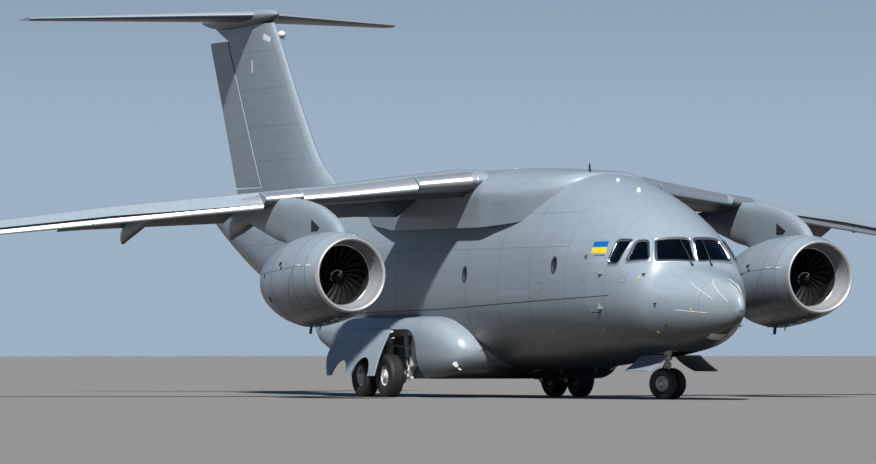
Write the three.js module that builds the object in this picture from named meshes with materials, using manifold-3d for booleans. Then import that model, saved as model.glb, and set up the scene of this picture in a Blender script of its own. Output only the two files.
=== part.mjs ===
// A high-winged military transport plane with two jet engines, a T tail and a cargo ramp, parked on its gear.
// Millimetres. +X is forward, +Y is to port, +Z is up, and the ground is Z = 0.
import * as THREE from "three";
import { mergeVertices } from "three/addons/utils/BufferGeometryUtils.js";
import { ConvexGeometry } from "three/addons/geometries/ConvexGeometry.js";
import Module from "manifold-3d";

const wasm = await Module();
wasm.setup();

// Driving dimensions
const LENGTH = 32950;
const SPAN = 28840;
const NOSE = LENGTH / 2;
const TAIL = -LENGTH / 2;
const WALL = 110; // skin, frames and lining together
const TOUCH = 0.3; // the gap between pieces that are fastened together
const RUNNING = 10; // the gap round a piece that moves
const WHEEL_SIDES = 24;
const SECTION_POWER = 2.15; // 2 is an ellipse, more is squarer
const RING = 28; // points round the fuselage

// Small tools

// A closed geometry as a solid that can be joined and cut.
function solid(geometry) {
  const g = geometry.index ? geometry.toNonIndexed() : geometry.clone();
  g.deleteAttribute("normal");
  g.deleteAttribute("uv");
  const merged = mergeVertices(g, 1e-2);
  const build = (triVerts) =>
    new wasm.Manifold(
      new wasm.Mesh({
        numProp: 3,
        vertProperties: new Float32Array(merged.attributes.position.array),
        triVerts,
      }),
    );
  const made = build(new Uint32Array(merged.index.array));
  if (made.volume() >= 0) return made;
  const turned = new Uint32Array(merged.index.array);
  for (let i = 0; i < turned.length; i += 3) [turned[i + 1], turned[i + 2]] = [turned[i + 2], turned[i + 1]];
  return build(turned);
}

// A solid through closed rings of points, [x, y, z] each, with flat ends.
function loft(rings) {
  const n = rings[0].length;
  const middle = (ring) => [0, 1, 2].map((k) => ring.reduce((sum, p) => sum + p[k], 0) / n);
  const points = [...rings.flat(), middle(rings[0]), middle(rings.at(-1))];
  const faces = [];
  for (let r = 0; r + 1 < rings.length; r++)
    for (let i = 0; i < n; i++) {
      const a = r * n + i;
      const b = r * n + ((i + 1) % n);
      faces.push(a, b, a + n, b, b + n, a + n);
    }
  const first = rings.length * n;
  const last = first - n;
  for (let i = 0; i < n; i++) {
    const next = (i + 1) % n;
    faces.push(first, next, i, first + 1, last + i, last + next);
  }
  const g = new THREE.BufferGeometry();
  g.setAttribute("position", new THREE.Float32BufferAttribute(points.flat(), 3));
  g.setIndex(faces);
  return solid(g);
}

// A box from its lowest to its highest corner.
function box(low, high) {
  const g = new THREE.BoxGeometry(high[0] - low[0], high[1] - low[1], high[2] - low[2]);
  g.translate((low[0] + high[0]) / 2, (low[1] + high[1]) / 2, (low[2] + high[2]) / 2);
  return solid(g);
}

// The convex solid round a few points.
const hull = (points) => solid(new ConvexGeometry(points.map((p) => new THREE.Vector3(...p))));

// A straight round bar between two points, which may taper.
function bar(from, to, radius, endRadius = radius, sides = 10) {
  const a = new THREE.Vector3(...from);
  const b = new THREE.Vector3(...to);
  const g = new THREE.CylinderGeometry(endRadius, radius, a.distanceTo(b), sides);
  const direction = b.clone().sub(a).normalize();
  const turn = new THREE.Quaternion().setFromUnitVectors(new THREE.Vector3(0, 1, 0), direction);
  g.applyQuaternion(turn);
  const centre = a.add(b).multiplyScalar(0.5);
  g.translate(centre.x, centre.y, centre.z);
  return solid(g);
}

// A turned shape: profile pairs [radius, along], spun round an axis through a point.
function turned(profile, axis, at, sides = 40) {
  const g = new THREE.LatheGeometry(
    profile.map(([r, a]) => new THREE.Vector2(r, a)),
    sides,
  );
  const direction = new THREE.Vector3(...axis);
  const turn = new THREE.Quaternion().setFromUnitVectors(new THREE.Vector3(0, 1, 0), direction);
  g.applyQuaternion(turn);
  g.translate(...at);
  return solid(g);
}

// A wheel's turned shape about Y, with a flat of its ring at the bottom. Its radii are those of the flats.
function wheelShape(profile, at) {
  const reach = 1 / Math.cos(Math.PI / WHEEL_SIDES);
  const outline = [...profile, profile[0]].map(([r, a]) => new THREE.Vector2(r * reach, a));
  const g = new THREE.LatheGeometry(outline, WHEEL_SIDES, Math.PI / WHEEL_SIDES);
  g.translate(...at);
  return solid(g);
}

// A flat outline in the X-Z plane, given depth along Y.
function slabXZ(outline, y0, y1) {
  const shape = new THREE.Shape(outline.map(([x, z]) => new THREE.Vector2(x, z)));
  const g = new THREE.ExtrudeGeometry(shape, { depth: Math.abs(y1 - y0), bevelEnabled: false });
  g.rotateX(Math.PI / 2); // the outline's second number becomes Z, and the depth runs along -Y
  g.translate(0, Math.max(y0, y1), 0);
  return solid(g);
}

// A hinge pin from inside a piece to the face that it turns against, stopped where its rim would touch it.
// The face is square to one axis, and the pin's line need not be.
function hingePin(from, to, axis, radius) {
  const a = new THREE.Vector3(...from);
  const line = new THREE.Vector3(...to).sub(a);
  const cos = Math.abs(line.getComponent(axis)) / line.length();
  const stop = (TOUCH + radius * Math.sqrt(1 - cos * cos)) / cos;
  const end = line.setLength(line.length() - stop).add(a);
  return bar(from, end.toArray(), radius);
}

const join = (...pieces) => pieces.reduce((all, next) => all.add(next));
const cut = (from, ...cutters) => cutters.reduce((rest, next) => rest.subtract(next), from);
const plane = new THREE.Group();
plane.name = "transport_plane";

const FINISH = {
  grey: { color: 0x8f979d, roughness: 0.5, metalness: 0.1 },
  bareMetal: { color: 0xc9cbcc, roughness: 0.3, metalness: 1 },
  darkMetal: { color: 0x3a3c3f, roughness: 0.5, metalness: 1 },
  lining: { color: 0xb9bcb4, roughness: 0.8, metalness: 0 },
  legs: { color: 0xd5d8d6, roughness: 0.4, metalness: 0.1 },
  tyre: { color: 0x161616, roughness: 0.9, metalness: 0 },
  glass: { color: 0x20303a, roughness: 0.05, metalness: 0 },
  seat: { color: 0x2c3a44, roughness: 0.9, metalness: 0 },
};

function add(name, made, finish) {
  const m = made.getMesh();
  const g = new THREE.BufferGeometry();
  const positions = new Float32Array(m.numVert * 3);
  for (let i = 0; i < m.numVert; i++)
    positions.set(m.vertProperties.subarray(i * m.numProp, i * m.numProp + 3), i * 3);
  g.setAttribute("position", new THREE.BufferAttribute(positions, 3));
  g.setIndex(new THREE.BufferAttribute(m.triVerts, 1));
  g.computeVertexNormals();
  const mesh = new THREE.Mesh(g, new THREE.MeshStandardMaterial(FINISH[finish]));
  mesh.name = name;
  plane.add(mesh);
}

const SIDES = [
  ["port", 1],
  ["starboard", -1],
];

// Fuselage

// Where along X, half width, top, bottom, and the height where it is widest.
const FUSELAGE = [
  [NOSE, 40, 2150, 2050, 2062],
  [16400, 112, 2340, 1885, 2065],
  [16200, 200, 2500, 1730, 2071],
  [15900, 335, 2623, 1620, 2078],
  [15400, 570, 2781, 1471, 2109],
  [14800, 873, 2948, 1328, 2156],
  [14150, 1203, 3132, 1188, 2240],
  [13850, 1372, 3634, 1129, 2293],
  [13200, 1593, 4098, 1055, 2389],
  [12400, 1743, 4489, 978, 2422],
  [11400, 1842, 4861, 915, 2448],
  [10200, 1928, 5171, 824, 2491],
  [9000, 1952, 5330, 745, 2490],
  [7500, 1951, 5394, 702, 2491],
  [4000, 1950, 5430, 660, 2500],
  [-1500, 1950, 5400, 680, 2520],
  [-3000, 1935, 5360, 860, 2650],
  [-4500, 1885, 5330, 1210, 2850],
  [-6500, 1760, 5300, 1760, 3180],
  [-8500, 1540, 5280, 2340, 3580],
  [-10500, 1240, 5250, 2930, 3980],
  [-12500, 860, 5220, 3560, 4370],
  [-14300, 480, 5160, 4190, 4690],
  [-15400, 230, 5060, 4640, 4850],
];

// The section's sizes at any X.
function sectionAt(x) {
  let k = 0;
  while (k < FUSELAGE.length - 2 && FUSELAGE[k + 1][0] > x) k++;
  const [a, b] = [FUSELAGE[k], FUSELAGE[k + 1]];
  const t = Math.min(Math.max((a[0] - x) / (a[0] - b[0]), 0), 1);
  return a.map((v, i) => (i ? v + (b[i] - v) * t : x));
}

// A ring of points at x, drawn in by inset.
function fuselageRing(x, inset) {
  const [, half, top, bottom, widest] = sectionAt(x);
  const ring = [];
  for (let i = 0; i < RING; i++) {
    const angle = (2 * Math.PI * i) / RING;
    const c = Math.cos(angle);
    const s = Math.sin(angle);
    const rise = s > 0 ? top - widest : widest - bottom;
    const y = (half - inset) * Math.sign(c) * Math.abs(c) ** (2 / SECTION_POWER);
    const z = widest + (rise - inset) * Math.sign(s) * Math.abs(s) ** (2 / SECTION_POWER);
    ring.push([x, y, z]);
  }
  return ring;
}

// The whole body's form between two places along X, drawn in by inset, or let out where inset is negative.
function body(from, to, inset) {
  const inside = FUSELAGE.map((row) => row[0]).filter((x) => x < from - 1 && x > to + 1);
  return loft([from, ...inside, to].map((x) => fuselageRing(x, inset)));
}

const NOSE_BULKHEAD = 15250;
const TAIL_BULKHEAD = -12300;
const skinForm = body(NOSE, FUSELAGE.at(-1)[0], 0);
const clearOfSkin = body(NOSE, FUSELAGE.at(-1)[0], -TOUCH);
const insideForm = body(NOSE_BULKHEAD, TAIL_BULKHEAD, WALL);
const insideClear = body(NOSE_BULKHEAD - TOUCH, TAIL_BULKHEAD + TOUCH, WALL + TOUCH);
const shell = cut(skinForm, insideForm);
const WIDE = 4000;
const HIGH = 7000;
// The space between two places along X.
const between = (from, to) => box([to, -WIDE, -100], [from, WIDE, HIGH]);

// Where the body's sections are joined, from the nose back.
const RADOME_JOINT = 15400;
const COCKPIT_JOINT = 10900;
const CENTRE_JOINT = 5000;
const AFT_JOINT = -2900;
const CONE_JOINT = -10600;

// The half width of the skin at a height.
function skinHalf(x, z) {
  const [, half, top, bottom, widest] = sectionAt(x);
  const share = z > widest ? (z - widest) / (top - widest) : (widest - z) / (widest - bottom);
  return half * (1 - share ** SECTION_POWER) ** (1 / SECTION_POWER);
}

// The height of the skin's underside at a distance from the middle.
function skinUnder(x, y) {
  const [, half, , bottom, widest] = sectionAt(x);
  return widest - (widest - bottom) * (1 - (y / half) ** SECTION_POWER) ** (1 / SECTION_POWER);
}

// A hinge lug: a length of the hinge line, with an arm from it to a root inside the piece that carries it.
// The line runs along one axis, and its centre and the root's corners are given in the other two.
const KNUCKLE = 13;
function lug(axis, from, to, centre, root) {
  const outline = [...root];
  for (let i = 0; i < 8; i++) {
    const angle = (Math.PI * (i + 0.5)) / 4;
    outline.push([centre[0] + KNUCKLE * Math.cos(angle), centre[1] + KNUCKLE * Math.sin(angle)]);
  }
  return hull([from, to].flatMap((at) => outline.map((corner) => corner.toSpliced(axis, 0, at))));
}

// Doors and openings in the fuselage

// Flight deck windows: the corners of one side's panes, upper fore and aft, then lower aft and fore.
const PANES = [
  [[13800, 100, 3665], [13590, 760, 3650], [13950, 905, 3185], [14110, 85, 3200]],
  [[13480, 925, 3625], [13270, 1090, 3635], [13320, 1385, 3170], [13810, 1080, 3190]],
  [[13140, 1160, 3640], [12740, 1330, 3650], [12730, 1580, 3130], [13060, 1500, 3130]],
];
const PANE_REACH = 330;

// A straight-sided cutter through the skin round a pane.
function paneCutter(corners, side) {
  const [a, b, c, d] = corners.map(([x, y, z]) => new THREE.Vector3(x, y * side, z));
  const out = new THREE.Vector3().crossVectors(c.clone().sub(a), d.clone().sub(b)).normalize();
  const points = [];
  for (const p of [a, b, c, d])
    for (const way of [-1, 1]) points.push(p.clone().addScaledVector(out, way * PANE_REACH).toArray());
  return hull(points);
}
const paneCutters = SIDES.flatMap(([, side]) => PANES.map((corners) => paneCutter(corners, side)));

// The glass is one curved band let into the wall behind the window frames.
const GLASS_IN = 36;
const GLASS_THICK = 22;
const GLASS_BAND = { back: 12650, front: 14300, low: 3040, high: 3760 };
function glassBand(grow) {
  const ends = [GLASS_BAND.front + grow, GLASS_BAND.back - grow];
  const layer = cut(body(15000, 12000, GLASS_IN - grow), body(15100, 11900, GLASS_IN + GLASS_THICK + grow));
  const zone = box([ends[1], -WIDE, GLASS_BAND.low - grow], [ends[0], WIDE, GLASS_BAND.high + grow]);
  return layer.intersect(zone);
}

// Side doors. The crew door drops down as steps to port, and the service door opposite swings forward.
const FLOOR_DECK = 2000; // the flight deck and entry floor's top
const CREW_DOOR = { front: 12150, back: 11350, low: FLOOR_DECK, high: 3680 };
const SERVICE_DOOR = { front: 12540, back: 11840, low: FLOOR_DECK, high: 3330 };
const DOOR_CUT = { out: 2100, in: 900 }; // how far out and in the doors' cutters reach
// The crew door's opening narrows inwards at its top, the service door's at its back, so that they swing clear.
function crewDoorSpace(gap) {
  const { front, back, low, high } = CREW_DOOR;
  const rise = 180; // over the cutter's whole depth
  const points = [];
  for (const x of [front - gap, back + gap]) {
    for (const [y, lift] of [[DOOR_CUT.out, rise], [DOOR_CUT.in, -rise]]) {
      points.push([x, y, low + gap], [x, y, high - gap + lift]);
    }
  }
  return hull(points);
}
function serviceDoorSpace(gap) {
  const { front, back, low, high } = SERVICE_DOOR;
  const slope = 0.5;
  const skinAt = -1780;
  const points = [];
  for (const z of [low + gap, high - gap]) {
    for (const y of [-DOOR_CUT.out, -DOOR_CUT.in]) {
      for (const x of [front - gap, back + gap + (y - skinAt) * slope]) points.push([x, y, z]);
    }
  }
  return hull(points);
}

// Nose wheel well, a box let into the belly.
const NOSE_WELL = { front: 13650, back: 11850, half: 420, roof: 1750, wall: 30 };
const noseWellSpace = box(
  [NOSE_WELL.back, -NOSE_WELL.half, 0],
  [NOSE_WELL.front, NOSE_WELL.half, NOSE_WELL.roof],
);
const noseWellWalls = box(
  [NOSE_WELL.back - NOSE_WELL.wall, -NOSE_WELL.half - NOSE_WELL.wall, 0],
  [NOSE_WELL.front + NOSE_WELL.wall, NOSE_WELL.half + NOSE_WELL.wall, NOSE_WELL.roof + NOSE_WELL.wall],
).intersect(skinForm);

// Cargo ramp and the door behind it, both in the rising belly.
const HOLD_FLOOR = 1300; // its top
const HOLD_FLOOR_THICK = 140;
const HOLD_FRONT = 10300;
const RAMP_FRONT = AFT_JOINT - 120;
const RAMP = { front: RAMP_FRONT, back: -6500, half: 1330, halfBack: 1250, top: 430, topBack: 300, lean: 110 };
const AFT_DOOR = { front: -6520, back: -10300, half: 1240, halfBack: 760, top: 160, topBack: 160, lean: 0 };
// The belly's height at any X.
const belly = (x) => sectionAt(x)[3];
// The space of a panel of the belly, from below the skin to its top, or higher by extra. Its back leans.
function bellySpace(panel, gap, extra) {
  const points = [];
  const ends = [
    [panel.front - gap, panel.half - gap, panel.top, 0],
    [panel.back + gap, panel.halfBack - gap, panel.topBack, panel.lean / panel.topBack],
  ];
  for (const [x, half, above, lean] of ends)
    for (const y of [-half, half])
      for (const rise of [-600, above + extra]) points.push([x + rise * lean, y, belly(x) + rise]);
  return hull(points);
}
const rampSpace = bellySpace(RAMP, 0, 300);
const aftDoorSpace = bellySpace(AFT_DOOR, 0, 700);

add("radome", skinForm.intersect(between(NOSE + 10, RADOME_JOINT + TOUCH / 2)), "grey");

const cockpitShell = join(
  cut(
    shell.intersect(between(RADOME_JOINT - TOUCH / 2, COCKPIT_JOINT + TOUCH / 2)),
    glassBand(TOUCH),
    ...paneCutters,
    crewDoorSpace(0),
    serviceDoorSpace(0),
  ),
  noseWellWalls,
);

// The crew door hangs on lugs under its sill, outside the skin, and the service door on lugs at its front edge.
const LUG = 60; // its length along the hinge line
const CREW_HINGE = { y: 1830, z: 2005, xs: [11480, 11960] };
const SERVICE_HINGE = { x: 12535, y: -1750, zs: [2150, 2950] };
const crewLugs = CREW_HINGE.xs.map((x) => {
  const y = skinHalf(x, CREW_HINGE.z);
  const centre = [CREW_HINGE.y, CREW_HINGE.z];
  return {
    moving: lug(0, x, x + LUG, centre, [[y - 20, 2014], [y - 30, 2080], [y + 8, 2080]]),
    fixed: lug(0, x - LUG, x - TOUCH, centre, [[y - 30, 1990], [y - 30, 1900], [y - 10, 1900]]),
  };
});
const serviceLugs = SERVICE_HINGE.zs.map((z) => {
  const y = -skinHalf(SERVICE_HINGE.x, z);
  const centre = [SERVICE_HINGE.x, SERVICE_HINGE.y];
  return {
    moving: lug(2, z, z + LUG, centre, [[12524, y + 25], [12465, y + 25], [12465, y - 12]]),
    fixed: lug(2, z - LUG, z - TOUCH, centre, [[12552, y + 25], [12620, y + 45], [12620, y]]),
  };
});
const doorLugs = [...crewLugs, ...serviceLugs].map(({ fixed }) => fixed);
add("cockpit_shell", cut(join(cockpitShell, ...doorLugs), noseWellSpace), "grey");
add("flight_deck_glass", glassBand(0), "glass");
add(
  "crew_door",
  join(shell.intersect(crewDoorSpace(RUNNING)), ...crewLugs.map(({ moving }) => moving)),
  "grey",
);
add(
  "service_door",
  join(shell.intersect(serviceDoorSpace(RUNNING)), ...serviceLugs.map(({ moving }) => moving)),
  "grey",
);
add("forward_fuselage", shell.intersect(between(COCKPIT_JOINT - TOUCH / 2, CENTRE_JOINT + TOUCH / 2)), "grey");
add("centre_fuselage", shell.intersect(between(CENTRE_JOINT - TOUCH / 2, AFT_JOINT + TOUCH / 2)), "grey");

// The ramp hangs on lugs under its front edge, and the door behind it on lugs over its back edge.
const RAMP_HINGE = { x: -3030, z: 867, y: 450 };
const AFT_HINGE = { x: -10295, z: 3050, y: 350 };
const rampLugs = SIDES.map(([, side]) => {
  const centre = [RAMP_HINGE.x, RAMP_HINGE.z];
  const { y } = RAMP_HINGE;
  const under = skinUnder(RAMP_HINGE.x, y);
  const onRamp = [[-3045, under + 20], [-3110, under + 45], [-3110, under + 10]];
  const onBelly = [[-2995, under + 20], [-2930, under + 20], [-2930, under - 15]];
  return {
    moving: lug(1, y * side, (y + LUG) * side, centre, onRamp),
    fixed: lug(1, (y - LUG) * side, (y - TOUCH) * side, centre, onBelly),
  };
});
const aftLugs = SIDES.map(([, side]) => {
  const centre = [AFT_HINGE.x, AFT_HINGE.z];
  const { y } = AFT_HINGE;
  const onDoor = [[-10275, 3015], [-10190, 3000], [-10190, 3030]];
  const onBelly = [[-10330, 2995], [-10400, 2975], [-10400, 3035]];
  return {
    moving: lug(1, y * side, (y + LUG) * side, centre, onDoor),
    fixed: lug(1, (y - LUG) * side, (y - TOUCH) * side, centre, onBelly),
  };
});
const aftShell = shell.intersect(between(AFT_JOINT - TOUCH / 2, CONE_JOINT + TOUCH / 2));
const hangers = [...rampLugs, ...aftLugs].map(({ fixed }) => fixed);
add("aft_fuselage", join(cut(aftShell, rampSpace, aftDoorSpace), ...hangers), "grey");
add("tail_cone", shell.intersect(between(CONE_JOINT - TOUCH / 2, TAIL)), "grey");

// Floors and the flight deck's fittings

const DECK_THICK = 100;
const DECK_FRONT = 14900;
const deckSlab = (back, front) =>
  insideClear.intersect(box([back, -WIDE, FLOOR_DECK - DECK_THICK], [front, WIDE, FLOOR_DECK - TOUCH]));
const deckFloor = deckSlab(COCKPIT_JOINT - 300, DECK_FRONT);
const deckWall = insideClear.intersect(box([HOLD_FRONT + 20, -WIDE, 100], [HOLD_FRONT + 80, WIDE, HIGH]));
const deckStub = deckSlab(HOLD_FRONT + 20, COCKPIT_JOINT);
const doorway = box([HOLD_FRONT, -400, FLOOR_DECK], [HOLD_FRONT + 100, 400, FLOOR_DECK + 1850]);
const panel = insideClear.intersect(
  hull([
    [14300, -1500, 2700], [14300, 1500, 2700], [13700, -1500, 2950], [13700, 1500, 2950],
    [13800, -1500, 2350], [13800, 1500, 2350], [14300, -1500, 2400], [14300, 1500, 2400],
  ]),
);
const pedestal = box([12900, -230, FLOOR_DECK - 50], [14000, 230, 2620]);
add("flight_deck", cut(join(deckFloor, deckStub, deckWall, panel, pedestal), doorway), "lining");

// Seats. Heights are over the deck.
const SEAT = { y: 520, front: 13180, back: 12700, half: 240, foot: 320, top: 450 };
const BACKREST = { top: 1150, half: 200 };
for (const [name, side] of SIDES) {
  const y = SEAT.y * side;
  const base = box([12780, y - 150, FLOOR_DECK], [13080, y + 150, FLOOR_DECK + 330]);
  const cushion = box(
    [SEAT.back, y - SEAT.half, FLOOR_DECK + SEAT.foot],
    [SEAT.front, y + SEAT.half, FLOOR_DECK + SEAT.top],
  );
  const corners = [];
  for (const end of [-1, 1]) {
    for (const x of [12740, 12620]) corners.push([x, y + end * SEAT.half, FLOOR_DECK + 400]);
    for (const x of [12560, 12470]) corners.push([x, y + end * BACKREST.half, FLOOR_DECK + BACKREST.top]);
  }
  add("pilot_seat_" + name, join(base, cushion, hull(corners)), "seat");
}

add(
  "cargo_floor",
  insideClear.intersect(
    box([AFT_JOINT + TOUCH, -WIDE, HOLD_FLOOR - HOLD_FLOOR_THICK], [HOLD_FRONT, WIDE, HOLD_FLOOR]),
  ),
  "lining",
);

// The ramp is the belly skin with a flat floor on it, and the door behind it is skin and frames only.
add(
  "cargo_ramp",
  join(skinForm.intersect(bellySpace(RAMP, RUNNING, 0)), ...rampLugs.map(({ moving }) => moving)),
  "grey",
);
add(
  "aft_cargo_door",
  join(skinForm.intersect(bellySpace(AFT_DOOR, RUNNING, 0)), ...aftLugs.map(({ moving }) => moving)),
  "grey",
);

// Wing

// Span station, leading edge X and Z, chord, thickness as a share of the chord.
const WING = [
  [1950, 6080, 5150, 4730, 0.125],
  [3200, 5550, 5045, 4120, 0.12],
  [5000, 4690, 4850, 3540, 0.115],
  [9800, 2395, 4420, 2370, 0.105],
  [13900, 435, 3915, 1480, 0.1],
  [14270, 150, 3880, 1150, 0.09],
];
const FOIL = [1, 0.85, 0.65, 0.45, 0.3, 0.17, 0.08, 0.025, 0]; // chord shares from the trailing edge forward
const INCIDENCE = 0.035; // how much lower the trailing edge is, as a share of the chord

// Half the thickness of a streamlined section at a share of its chord.
function foilHalf(share) {
  const s = share;
  return 5 * (0.2969 * Math.sqrt(s) - 0.126 * s - 0.3516 * s * s + 0.2843 * s ** 3 - 0.1015 * s ** 4);
}

// Pairs [distance behind the leading edge, offset] round a section, let out by grow.
function foil(chord, thick, blunt, grow = 0) {
  const half = (s) => foilHalf(s) * thick * chord + blunt * s + grow;
  const back = (s) => s * chord + (s === 1 ? grow : s === 0 ? -grow : 0);
  const over = FOIL.map((s) => [back(s), s ? half(s) : 0]);
  const under = FOIL.slice(0, -1).reverse().map((s) => [back(s), -half(s)]);
  return [...over, ...under];
}

const SWELL = 1.15; // the wing's section is this much thicker than the plain foil
const CAMBER = 0.05;
function wingForm(side, grow = 0) {
  return loft(
    WING.map(([y, x, z, chord, thick], row) => {
      const station = y + (row === 0 ? -grow : row === WING.length - 1 ? grow : 0);
      return foil(chord, thick, 6, grow).map(([b, up]) => [
        x - b,
        station * side,
        z + up * SWELL - INCIDENCE * b + CAMBER * thick * chord,
      ]);
    }),
  );
}

// A value from a table's column at a span station.
function wingAt(station) {
  const k = Math.max(0, Math.min(WING.length - 2, WING.findIndex((row) => row[0] > station) - 1));
  const [a, b] = [WING[k], WING[k + 1]];
  const t = (station - a[0]) / (b[0] - a[0]);
  const [, x, z, chord, thick] = a.map((v, i) => v + (b[i] - v) * t);
  return { x, z, chord, thick, half: (share) => foilHalf(share) * thick * SWELL * chord };
}
const HINGE_BACK = 25; // how far the hinge line lies behind a control surface's front face
// The point a share of the way from one point to another.
const along = (a, b, share) => a.map((v, i) => v + (b[i] - v) * share);
const END_GAP = 2.5; // a swept surface's ends move sideways as it turns, so the gap there is wider
const AILERON = { inner: 10400, outer: 13400, share: 0.74, front: 32, pin: 14 };
// A point on the aileron's hinge line.
function aileronHinge(station, side) {
  const { x, z, chord } = wingAt(station);
  return [x - AILERON.share * chord, station * side, z - INCIDENCE * AILERON.share * chord];
}
function aileronSpace(side, gap) {
  const points = [];
  for (const station of [AILERON.inner + gap * END_GAP, AILERON.outer - gap * END_GAP]) {
    const [x, y] = aileronHinge(station, side);
    const front = gap ? x : x + AILERON.front;
    for (const z of [3400, 5200]) points.push([front, y, z], [front - 1500, y, z]);
  }
  return hull(points);
}

// Span station, leading edge X, Z, chord.
const WINGLET = [
  [14150, -20, 3880, 1050],
  [14300, -190, 4010, 880],
  [SPAN / 2 - 17, -560, 4620, 430],
];
const winglet = (side) =>
  loft(
    WINGLET.map(([y, x, z, chord]) =>
      foil(chord, 0.08, 4).map(([back, out]) => [x - back, (y + out * 0.9) * side, z]),
    ),
  );

// A point of the wing's section at a station: distance behind the leading edge, offset from the chord line.
function wingPoint(station, side, back, up) {
  const { x, z, chord, thick } = wingAt(station);
  return [x - back, station * side, z + up - INCIDENCE * back + CAMBER * thick * chord];
}
// The stations of a stretch of the wing: its ends and the wing's own bends between them.
const stretch = (from, to) => [from, ...WING.map(([y]) => y).filter((y) => y > from && y < to), to];
// Turns a section's pair about a pivot, front or tail down by an angle in degrees.
function swung([back, up], [pivotBack, pivotUp], degrees) {
  const angle = (degrees * Math.PI) / 180;
  const [c, s] = [Math.cos(angle), Math.sin(angle)];
  const [db, du] = [back - pivotBack, up - pivotUp];
  return [pivotBack + db * c - du * s, pivotUp + db * s + du * c];
}

// Slats, drooped. Rows of station, chord share, droop in degrees, and how far it drops as a share of the chord.
const SLATS = [
  [[3200, 0.11, 15, 0], [5000, 0.11, 15, 0], [5680, 0.11, 15, 0]],
  [[6500, 0.16, 29, 0], [8000, 0.175, 33, 0], [9800, 0.19, 37, 0.012], [13600, 0.2, 38, 0.015]],
];
const SLAT_EDGE = 25; // the slat's thickness at its rear edge
const slat = (rows, side) =>
  loft(
    rows.map(([station, share, droop, drop]) => {
      const { chord, half } = wingAt(station);
      const pivot = [share * chord, half(share)];
      const over = [share, share * 0.5, share * 0.15, 0].map((t) => [t * chord, half(t)]);
      const under = [[share * 0.15 * chord, -half(share * 0.15)], [share * 0.3 * chord, -half(share * 0.2)]];
      return [...over, ...under, [share * chord, half(share) - SLAT_EDGE]].map((pair) => {
        const [back, up] = swung(pair, pivot, droop);
        return wingPoint(station, side, back, up - drop * chord);
      });
    }),
  );

// What the slat leaves open: the wing behind it ends in a face that slants down and forwards.
function slatSpace(rows, side) {
  const points = [];
  for (const [station, share] of rows) {
    const { chord, half } = wingAt(station);
    const [high, low] = [[share * chord - 15, half(share)], [0.3 * share * chord, -half(0.3 * share)]];
    const past = (a, b) => a.map((v, i) => v + (v - b[i]) * 0.25);
    for (const [back, up] of [past(high, low), past(low, high)]) {
      points.push(wingPoint(station, side, back, up), wingPoint(station, side, -0.3 * chord, up));
    }
  }
  return hull(points);
}

// Flaps, drooped: span from and to. The wing ends ahead of them.
const FLAPS = [[2000, 5850], [6350, 10300]];
const FLAP = { share: 0.74, nose: 0.7, droop: 25 };
const UNDER_OVER_WING = [3400, 5600]; // heights clear below and above the wing
function flap([from, to], side) {
  const ring = (station) => {
    const { chord, half } = wingAt(station);
    const pivot = [FLAP.nose * chord, -half(FLAP.nose)];
    const pairs = [
      [FLAP.nose, 0], [FLAP.nose + 0.03, half(0.75)], [0.85, half(0.85)], [1, 5], [1, -5], [0.85, -half(0.85)],
      [FLAP.nose + 0.03, -half(0.75)],
    ].map(([t, up]) => [t * chord, up]);
    return pairs.map((pair) => wingPoint(station, side, ...swung(pair, pivot, -FLAP.droop)));
  };
  return loft(stretch(from, to).map(ring));
}
function flapSpace([from, to], side) {
  const points = [];
  for (const station of stretch(from, to)) {
    const { x, chord } = wingAt(station);
    for (const z of UNDER_OVER_WING) {
      for (const share of [FLAP.share, 2]) points.push([x - share * chord, station * side, z]);
    }
  }
  return hull(points);
}

// Fairings over the flap tracks, the inner one behind the pylon. Station, then X, half width, top, foot.
const TRACKS = [
  [
    6100,
    [
      [2290, 120, 4600, 4180], [1700, 140, 4560, 4010], [1050, 130, 4500, 3870], [720, 70, 4330, 3800],
      [600, 30, 4200, 3880],
    ],
  ],
  [
    8650,
    [
      [2250, 20, 4380, 4290], [1600, 80, 4440, 4120], [900, 105, 4380, 3930], [300, 95, 4250, 3765],
      [40, 50, 4050, 3695], [-50, 25, 3980, 3760],
    ],
  ],
];
const trackFairing = ([station, rows], side) =>
  loft(
    rows.map(([x, half, high, foot]) => {
      const waist = (high + foot) / 2;
      return [
        [half * 0.6, high], [half, waist], [half * 0.75, foot + 40], [0, foot],
        [-half * 0.75, foot + 40], [-half, waist], [-half * 0.6, high],
      ].map(([out, up]) => [x, station * side + out, up]);
    }),
  );

for (const [name, side] of SIDES) {
  const form = wingForm(side);
  const extras = [
    winglet(side),
    ...TRACKS.map((track) => trackFairing(track, side)),
    ...SLATS.map((rows) => slat(rows, side)),
    ...FLAPS.map((span) => flap(span, side)),
  ];
  const spaces = [
    aileronSpace(side, 0),
    ...SLATS.map((rows) => slatSpace(rows, side)),
    ...FLAPS.map((span) => flapSpace(span, side)),
  ];
  const aileron = form.intersect(aileronSpace(side, RUNNING));
  const pinEnds = [AILERON.inner, AILERON.outer].map((station) => {
    const [x, y, z] = aileronHinge(station, side);
    return [x - HINGE_BACK, y, z];
  });
  const pins = [
    hingePin(along(...pinEnds, 0.1), pinEnds[0], 1, AILERON.pin),
    hingePin(along(...pinEnds, 0.9), pinEnds[1], 1, AILERON.pin),
  ];
  add("wing_" + name, join(cut(form, ...spaces), ...extras), "grey");
  add("aileron_" + name, join(aileron, ...pins), "grey");
}

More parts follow.
